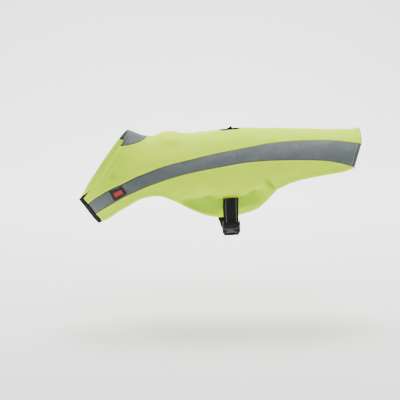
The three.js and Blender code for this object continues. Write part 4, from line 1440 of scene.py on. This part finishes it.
class VEST_OT_straps(Step, bpy.types.Operator):
    """Threads the belly strap through the buckle and sews it down"""

    bl_idname = "vest.straps"
    bl_label = "Belly strap"

    def build(self, scene):
        stitch = scene.vest_stitch
        matrix = buckle_frame()
        rows = left_strap_rows(matrix)
        left = webbing_piece("belly_strap_left", rows, (0, -1, 0), "strap_left")
        sewn_rows = rows[: PANEL_ROWS + BRIDGE_ROWS - 1]
        sewn = strap_stitches("strap_sewing_left", sewn_rows, (0, -1, 0), stitch)
        rows = right_strap_rows(matrix)
        right = webbing_piece("belly_strap_right", rows, (0, 1, 0), "strap_right")
        outside = matrix.to_3x3() @ Vector((0, 0, 1))
        over_fold = PANEL_ROWS + BELLY_ROWS + 2
        sewn = [
            strap_stitches("strap_sewing_right", rows[: PANEL_ROWS + 1], (0, 1, 0), stitch),
            strap_stitches("fold_sewing_right", rows[over_fold : over_fold + 4], outside, stitch),
        ]


# ---------------------------------------------------------------- the buckle

# Places in the buckle's frame, in millimetres: its outer face, then x or y of what lies on it.
FACE = 4.2
RIDGES_X = (-7.4, -5.6)
PITS_Y = (-10.2, 10.2)
PIT_RADIUS = 1.35 * MM
SLOT_X = 16.2
SLOT_PARTS_Y = ((-11.6, -8.1), (-6.5, 7.6), (9.2, 11.6))
SOCKET_TAPER = {"share": 0.11, "from": 4 * MM, "to": 25 * MM}


def bevel(bm, edges, width):
    shape = {"segments": 2, "profile": 0.5, "material": -1, "affect": "EDGES", "clamp_overlap": True}
    bmesh.ops.bevel(bm, geom=edges, offset=width, **shape)


def soft_copy(node, width):
    """A frame piece's mesh as one clean skin with softly rounded edges."""
    bm = bmesh.new()
    bm.from_mesh(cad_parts[node].data)
    bmesh.ops.remove_doubles(bm, verts=bm.verts, dist=0.01 * MM)
    bmesh.ops.dissolve_limit(bm, angle_limit=math.radians(4), verts=bm.verts, edges=bm.edges)
    sharp = math.radians(35)
    bevel(bm, [edge for edge in bm.edges if edge.is_manifold and edge.calc_face_angle(0) > sharp], width)
    return bm


def at(matrix, *place):
    """The buckle's frame moved to a place in it, in millimetres."""
    return matrix @ Matrix.Translation([value * MM for value in place])


def block(bm, matrix, size):
    """A box of that size, in millimetres."""
    verts = bmesh.ops.create_cube(bm, size=1.0)["verts"]
    bmesh.ops.scale(bm, vec=[value * MM for value in size], verts=verts)
    bmesh.ops.transform(bm, matrix=matrix, verts=verts)
    return verts


def cut_out(piece, cutters, recess):
    """Cuts a group of solids out of a piece, and gives the cut faces a darker plastic, a painted shade in the
    recesses.
    """
    cutter = as_object("cutter", mesh_from(cutters, "cutter"))
    cutter.data.materials.append(recess)
    cut = piece.modifiers.new("cut", "BOOLEAN")
    cut.object = cutter
    cut.solver = "EXACT"
    cut.material_mode = "TRANSFER"
    graph = bpy.context.evaluated_depsgraph_get()
    mesh = bpy.data.meshes.new_from_object(piece.evaluated_get(graph))
    mesh.name = piece.name
    piece.modifiers.clear()
    piece.data = mesh
    bpy.data.objects.remove(cutter)


class VEST_OT_buckle(Step, bpy.types.Operator):
    """Moulds the two halves of the side-release buckle"""

    bl_idname = "vest.buckle"
    bl_label = "Buckle"

    def build(self, scene):
        plastic = finish_named("buckle plastic")
        matrix = buckle_frame()
        for node, name in (("buckle_male", "buckle_prongs"), ("buckle_female", "buckle_socket")):
            bm = soft_copy(node, 0.5 * MM)
            self.taper(bm, matrix)
            piece = as_object(name, mesh_from(bm, name))
            finish_piece(piece, plastic, "buckle_plastic", node)
        # The cut faces take a darker plastic, a painted shade.
        cut_out(piece, self.openings(matrix), finish_named("buckle recess"))
        bm = bmesh.new()
        for x in RIDGES_X:
            made = block(bm, at(matrix, x, 0, FACE), (0.8, 20, 0.7))
            bevel(bm, [edge for edge in bm.edges if edge.verts[0] in made], 0.25 * MM)
        finish_piece(as_object("buckle_relief", mesh_from(bm, "buckle_relief")), plastic, "buckle_plastic")

    def taper(self, bm, matrix):
        """Narrows the socket toward its end."""
        inverse = matrix.inverted()
        for vert in bm.verts:
            local = inverse @ vert.co
            narrower = float(smooth(local.x, SOCKET_TAPER["from"], SOCKET_TAPER["to"]))
            local.y *= 1 - SOCKET_TAPER["share"] * narrower
            vert.co = matrix @ local

    def openings(self, matrix):
        """Two round pits over the prongs and, by the far bar, a slot with two posts in it."""
        bm = bmesh.new()
        pit = {"segments": 20, "radius1": PIT_RADIUS, "radius2": PIT_RADIUS, "depth": 4.4 * MM}
        for y in PITS_Y:
            verts = bmesh.ops.create_cone(bm, cap_ends=True, **pit)["verts"]
            bmesh.ops.transform(bm, matrix=at(matrix, -0.6, y, FACE), verts=verts)
        for low, high in SLOT_PARTS_Y:
            block(bm, at(matrix, SLOT_X, (low + high) / 2, FACE), (6.4, high - low, 6))
        return bm


# ---------------------------------------------------------------- the stage

VEST_MIDDLE = (0, 0, -0.06)
# Name, place, aim, size, power in watts and spread in degrees.
LIGHTS = (
    ("key", (0.2, -1.5, 2.4), VEST_MIDDLE, 0.9, 38.0, 180),
    ("fill", (1.8, -1.3, 0.7), VEST_MIDDLE, 1.6, 6.0, 180),
    ("top", (0.1, 0.1, 2.2), VEST_MIDDLE, 1.4, 4.0, 180),
    ("backdrop", (0.0, 1.1, 2.4), (0, 1.4, -0.3), 2.0, 70.0, 90),
)
# The floor's half width, where it begins, the radius of its bend and the height of its wall.
FLOOR = {"half": 8.0, "front": -9.0, "bend": 0.6, "height": 3.0}


class VEST_OT_stage(Step, bpy.types.Operator):
    """Lays the floor and backdrop, hangs the lights and aims the camera"""

    bl_idname = "vest.stage"
    bl_label = "Stage"

    def build(self, scene):
        self.camera(scene, scene.vest_stage)
        self.backdrop(scene.vest_stage, tuple(scene.vest_colours.floor))
        self.lights(scene)

    def camera(self, scene, stage):
        azimuth, elevation = math.radians(stage.azimuth), math.radians(stage.elevation)
        level = math.cos(elevation)
        back = Vector((math.sin(azimuth) * level, -math.cos(azimuth) * level, math.sin(elevation)))
        right = Vector((math.cos(azimuth), math.sin(azimuth), 0))
        up = back.cross(right)
        data = bpy.data.cameras.new("camera")
        data.sensor_width = 36
        data.lens = stage.lens
        scene.camera = as_object("camera", data)
        scene.camera.matrix_world = Matrix((right, up, back)).transposed().to_4x4()
        scene.camera.location = back * stage.distance - right * stage.aside - up * stage.above

    def backdrop(self, stage, tone):
        """A floor that bends up into a wall behind the vest."""
        low, bend = -stage.floor_drop, FLOOR["bend"]
        profile = [(FLOOR["front"], low)]
        for i in range(stage.bend_steps + 1):
            angle = math.pi / 2 * i / stage.bend_steps
            back = stage.wall_back - bend + bend * math.sin(angle)
            profile.append((back, low + bend - bend * math.cos(angle)))
        profile.append((stage.wall_back, FLOOR["height"]))
        bm = bmesh.new()
        verts = [bm.verts.new((-FLOOR["half"], y, z)) for y, z in profile]
        edges = [bm.edges.new(pair) for pair in zip(verts, verts[1:])]
        made = bmesh.ops.extrude_edge_only(bm, edges=edges)["geom"]
        moved = [item for item in made if isinstance(item, bmesh.types.BMVert)]
        bmesh.ops.translate(bm, vec=(2 * FLOOR["half"], 0, 0), verts=moved)
        bmesh.ops.recalc_face_normals(bm, faces=bm.faces)
        floor = as_object("floor", mesh_from(bm, "floor"))
        paper = Finish("pale floor")
        shade = [value * 0.985 for value in tone]
        base = paper.mix(paper.noise(3.0, 2.0).over(0.3, 0.7), tone, shade)
        floor.data.materials.append(paper.surface(
            Base_Color=base, Roughness=0.9, Specular_IOR_Level=0.2, Emission_Color=tone, Emission_Strength=0.8
        ))

    def lights(self, scene):
        scene.world = bpy.data.worlds.new("studio")
        scene.world.use_nodes = True
        background = scene.world.node_tree.nodes["Background"].inputs
        background["Color"].default_value = (0.96, 0.98, 1.0, 1)
        background["Strength"].default_value = 0.24
        for name, place, aim, size, power, spread in LIGHTS:
            data = bpy.data.lights.new(name, "AREA")
            data.shape = "DISK"
            data.size = size
            data.energy = power
            data.spread = math.radians(spread)
            lamp = as_object(name, data)
            lamp.location = place
            lamp.rotation_mode = "QUATERNION"
            lamp.rotation_quaternion = (Vector(aim) - Vector(place)).to_track_quat("-Z", "Y")


# ---------------------------------------------------------------- the add-on

OPERATORS = (
    VEST_OT_stage,
    VEST_OT_back_panel,
    VEST_OT_side_panels,
    VEST_OT_reflective_cloth,
    VEST_OT_closure_tapes,
    VEST_OT_label,
    VEST_OT_slit_binding,
    VEST_OT_straps,
    VEST_OT_buckle,
)


class VEST_PT_sidebar(bpy.types.Panel):
    """Lists the steps that build the vest"""

    bl_label = "Dog safety vest"
    bl_idname = "VEST_PT_sidebar"
    bl_space_type = "VIEW_3D"
    bl_region_type = "UI"
    bl_category = "Vest"

    def draw(self, context):
        for operator in OPERATORS:
            self.layout.operator(operator.bl_idname)


CLASSES = (*SETTINGS.values(), *OPERATORS, VEST_PT_sidebar)


def register():
    for cls in CLASSES:
        bpy.utils.register_class(cls)
    for name, group in SETTINGS.items():
        setattr(bpy.types.Scene, name, PointerProperty(type=group))


def unregister():
    for name in SETTINGS:
        delattr(bpy.types.Scene, name)
    for cls in reversed(CLASSES):
        bpy.utils.unregister_class(cls)


def main():
    register()
    for operator in OPERATORS:
        group, name = operator.bl_idname.split(".")
        getattr(getattr(bpy.ops, group), name)()


if __name__ == "__main__":
    main()
